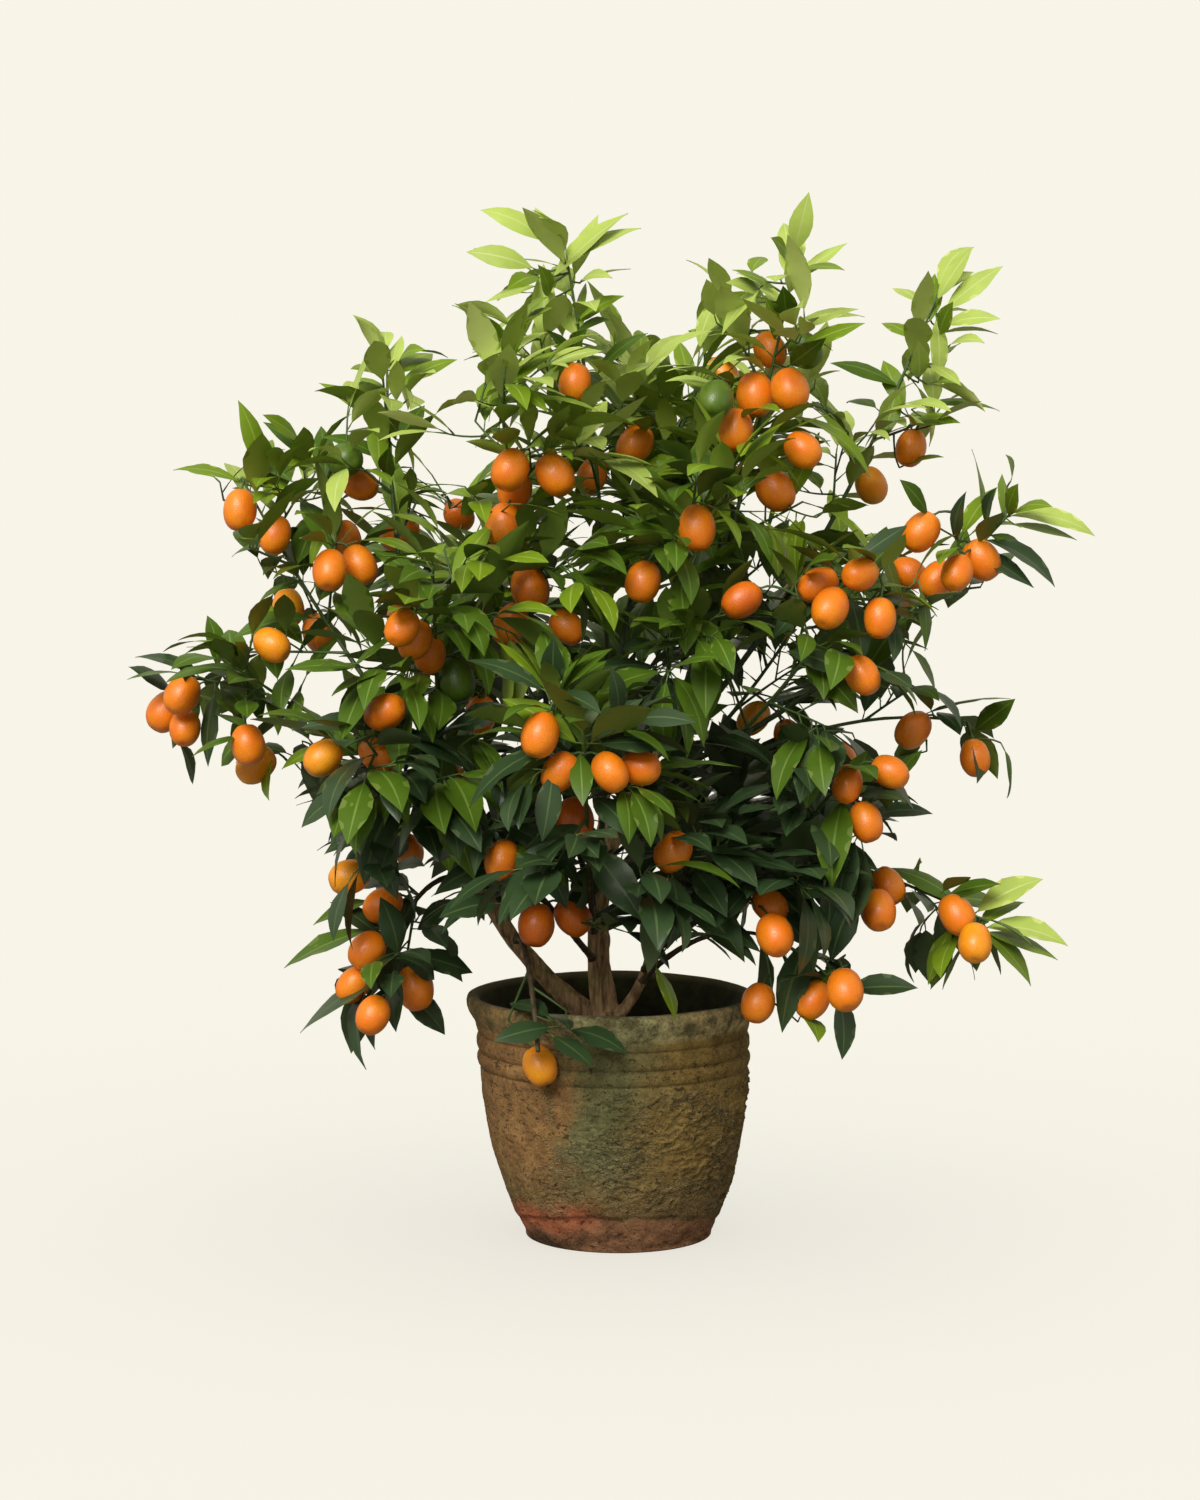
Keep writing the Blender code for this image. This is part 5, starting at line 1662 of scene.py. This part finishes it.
def make_stage():
    """A wide pale floor. What the sky gives it is made up to the backdrop's tone, so that the two meet."""
    mesh = bpy.data.meshes.new("floor")
    corners = ((-1, -1), (1, -1), (1, 1), (-1, 1))
    mesh.from_pydata([(x * FLOOR_REACH, y * FLOOR_REACH, 0) for x, y in corners], [], [(0, 1, 2, 3)])
    floor = show("floor", mesh)
    made_up = [tone - fill * share for tone, fill, share in zip(BACKDROP, FILL_COLOUR, FLOOR_COLOUR)]
    tones = {"Base_Color": (*FLOOR_COLOUR, 1), "Emission_Color": (*made_up, 1)}
    look = Look("pale_floor", 1.0, Specular_IOR_Level=0, **tones)
    seen = look.node("ShaderNodeLightPath", {}).outputs["Is Camera Ray"]
    look.tree.links.new(seen, look.shader.inputs["Emission Strength"])
    mesh.materials.append(look.material)
    return floor


def make_sky():
    """The backdrop, which lights the object less than it shows."""
    world = bpy.data.worlds.new("backdrop")
    world.use_nodes = True
    tree = world.node_tree
    seen = tree.nodes.new("ShaderNodeLightPath").outputs["Is Camera Ray"]
    tone = tree.nodes.new("ShaderNodeMix")
    tone.data_type = "RGBA"
    tone.inputs[6].default_value = (*FILL_COLOUR, 1)
    tone.inputs[7].default_value = (*BACKDROP, 1)
    tree.links.new(seen, tone.inputs[0])
    tree.links.new(tone.outputs[2], tree.nodes["Background"].inputs["Color"])
    bpy.context.scene.world = world


def make_sun(floor):
    """A soft sun from the upper left of the camera, which casts no long shadow over the floor."""
    light = bpy.data.lights.new("soft_sun", "SUN")
    light.energy = SUN_STRENGTH
    light.angle = SUN_SPREAD
    light.color = SUN_COLOUR
    sun = show("soft_sun", light)
    sun.rotation_euler = SUN_TURN
    unlit = bpy.data.collections.new("not_lit_by_the_sun")
    unlit.objects.link(floor)
    sun.light_linking.receiver_collection = unlit
    unlit.collection_objects[0].light_linking.link_state = "EXCLUDE"


def make_camera():
    lens = bpy.data.cameras.new("camera")
    lens.lens = FOCAL_PIXELS * SENSOR / PHOTO_HEIGHT
    lens.sensor_width = SENSOR
    lens.clip_end = CAMERA_SIGHT
    camera = show("camera", lens)
    camera.location = CAMERA_PLACE
    camera.rotation_euler = (math.pi / 2 - CAMERA_PITCH, 0, 0)
    bpy.context.scene.camera = camera


def grow_crown(box):
    """All branches with their twigs, fruit and leaves. Returns the garden and the paths of the wood."""
    garden = Garden(box)
    paths = {stem.name: stem_path(stem) for stem in STEMS}
    grown = []
    for branch in BRANCHES:
        path = branch_path(branch, paths[branch.parent])
        spine = stretch_of(path, branch.bare, 1, CURVE_POINTS)
        paths[branch.name] = path
        grown.append((branch, spine, grow_shoots(branch, spine)))
    for branch, spine, shoots in grown:
        shoots += hang_seen_fruit(garden, branch, shoots)
    for branch, spine, shoots in grown:
        shoots += hang_hidden_fruit(garden, branch, shoots)
    for branch, spine, shoots in grown:
        shoots += place_seen_leaves(garden, branch, shoots)
    for branch, spine, shoots in grown:
        if branch.name not in ALL_SEEN:
            grow_leaves(garden, branch, spine, shoots)
        for shoot in shoots:
            if shoot.used:
                shown = stretch_of(shoot.path, 0, shoot.used, len(shoot.path))
                rings = rings_on(shown, RING_SPACING)
                radii = tapered(shoot.thick, shoot.thin, len(rings))
                sweep(garden.twigs, rings, radii, SHOOT_SIDES, 0, shoot_relief)
    return garden, paths


def main():
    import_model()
    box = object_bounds()
    make_camera()
    make_sky()
    make_sun(make_stage())
    bpy.context.scene.view_settings.view_transform = "Standard"
    garden, paths = grow_crown(box)
    make_wood(paths)
    make_boughs(paths)
    masses = ["foliage_" + branch.name for branch in BRANCHES]
    looks = make_leaf_looks()
    for i, batch in enumerate(garden.leaves):
        make_piece(f"leaves_{i + 1}", batch, looks, masses)
    make_piece("twigs", garden.twigs, make_twig_looks(), masses)
    make_piece("fruit", garden.fruit, make_fruit_looks(), masses)
    make_piece("calyxes", garden.calyxes, [make_calyx_look()])
    make_pot()
    make_soil()


main()
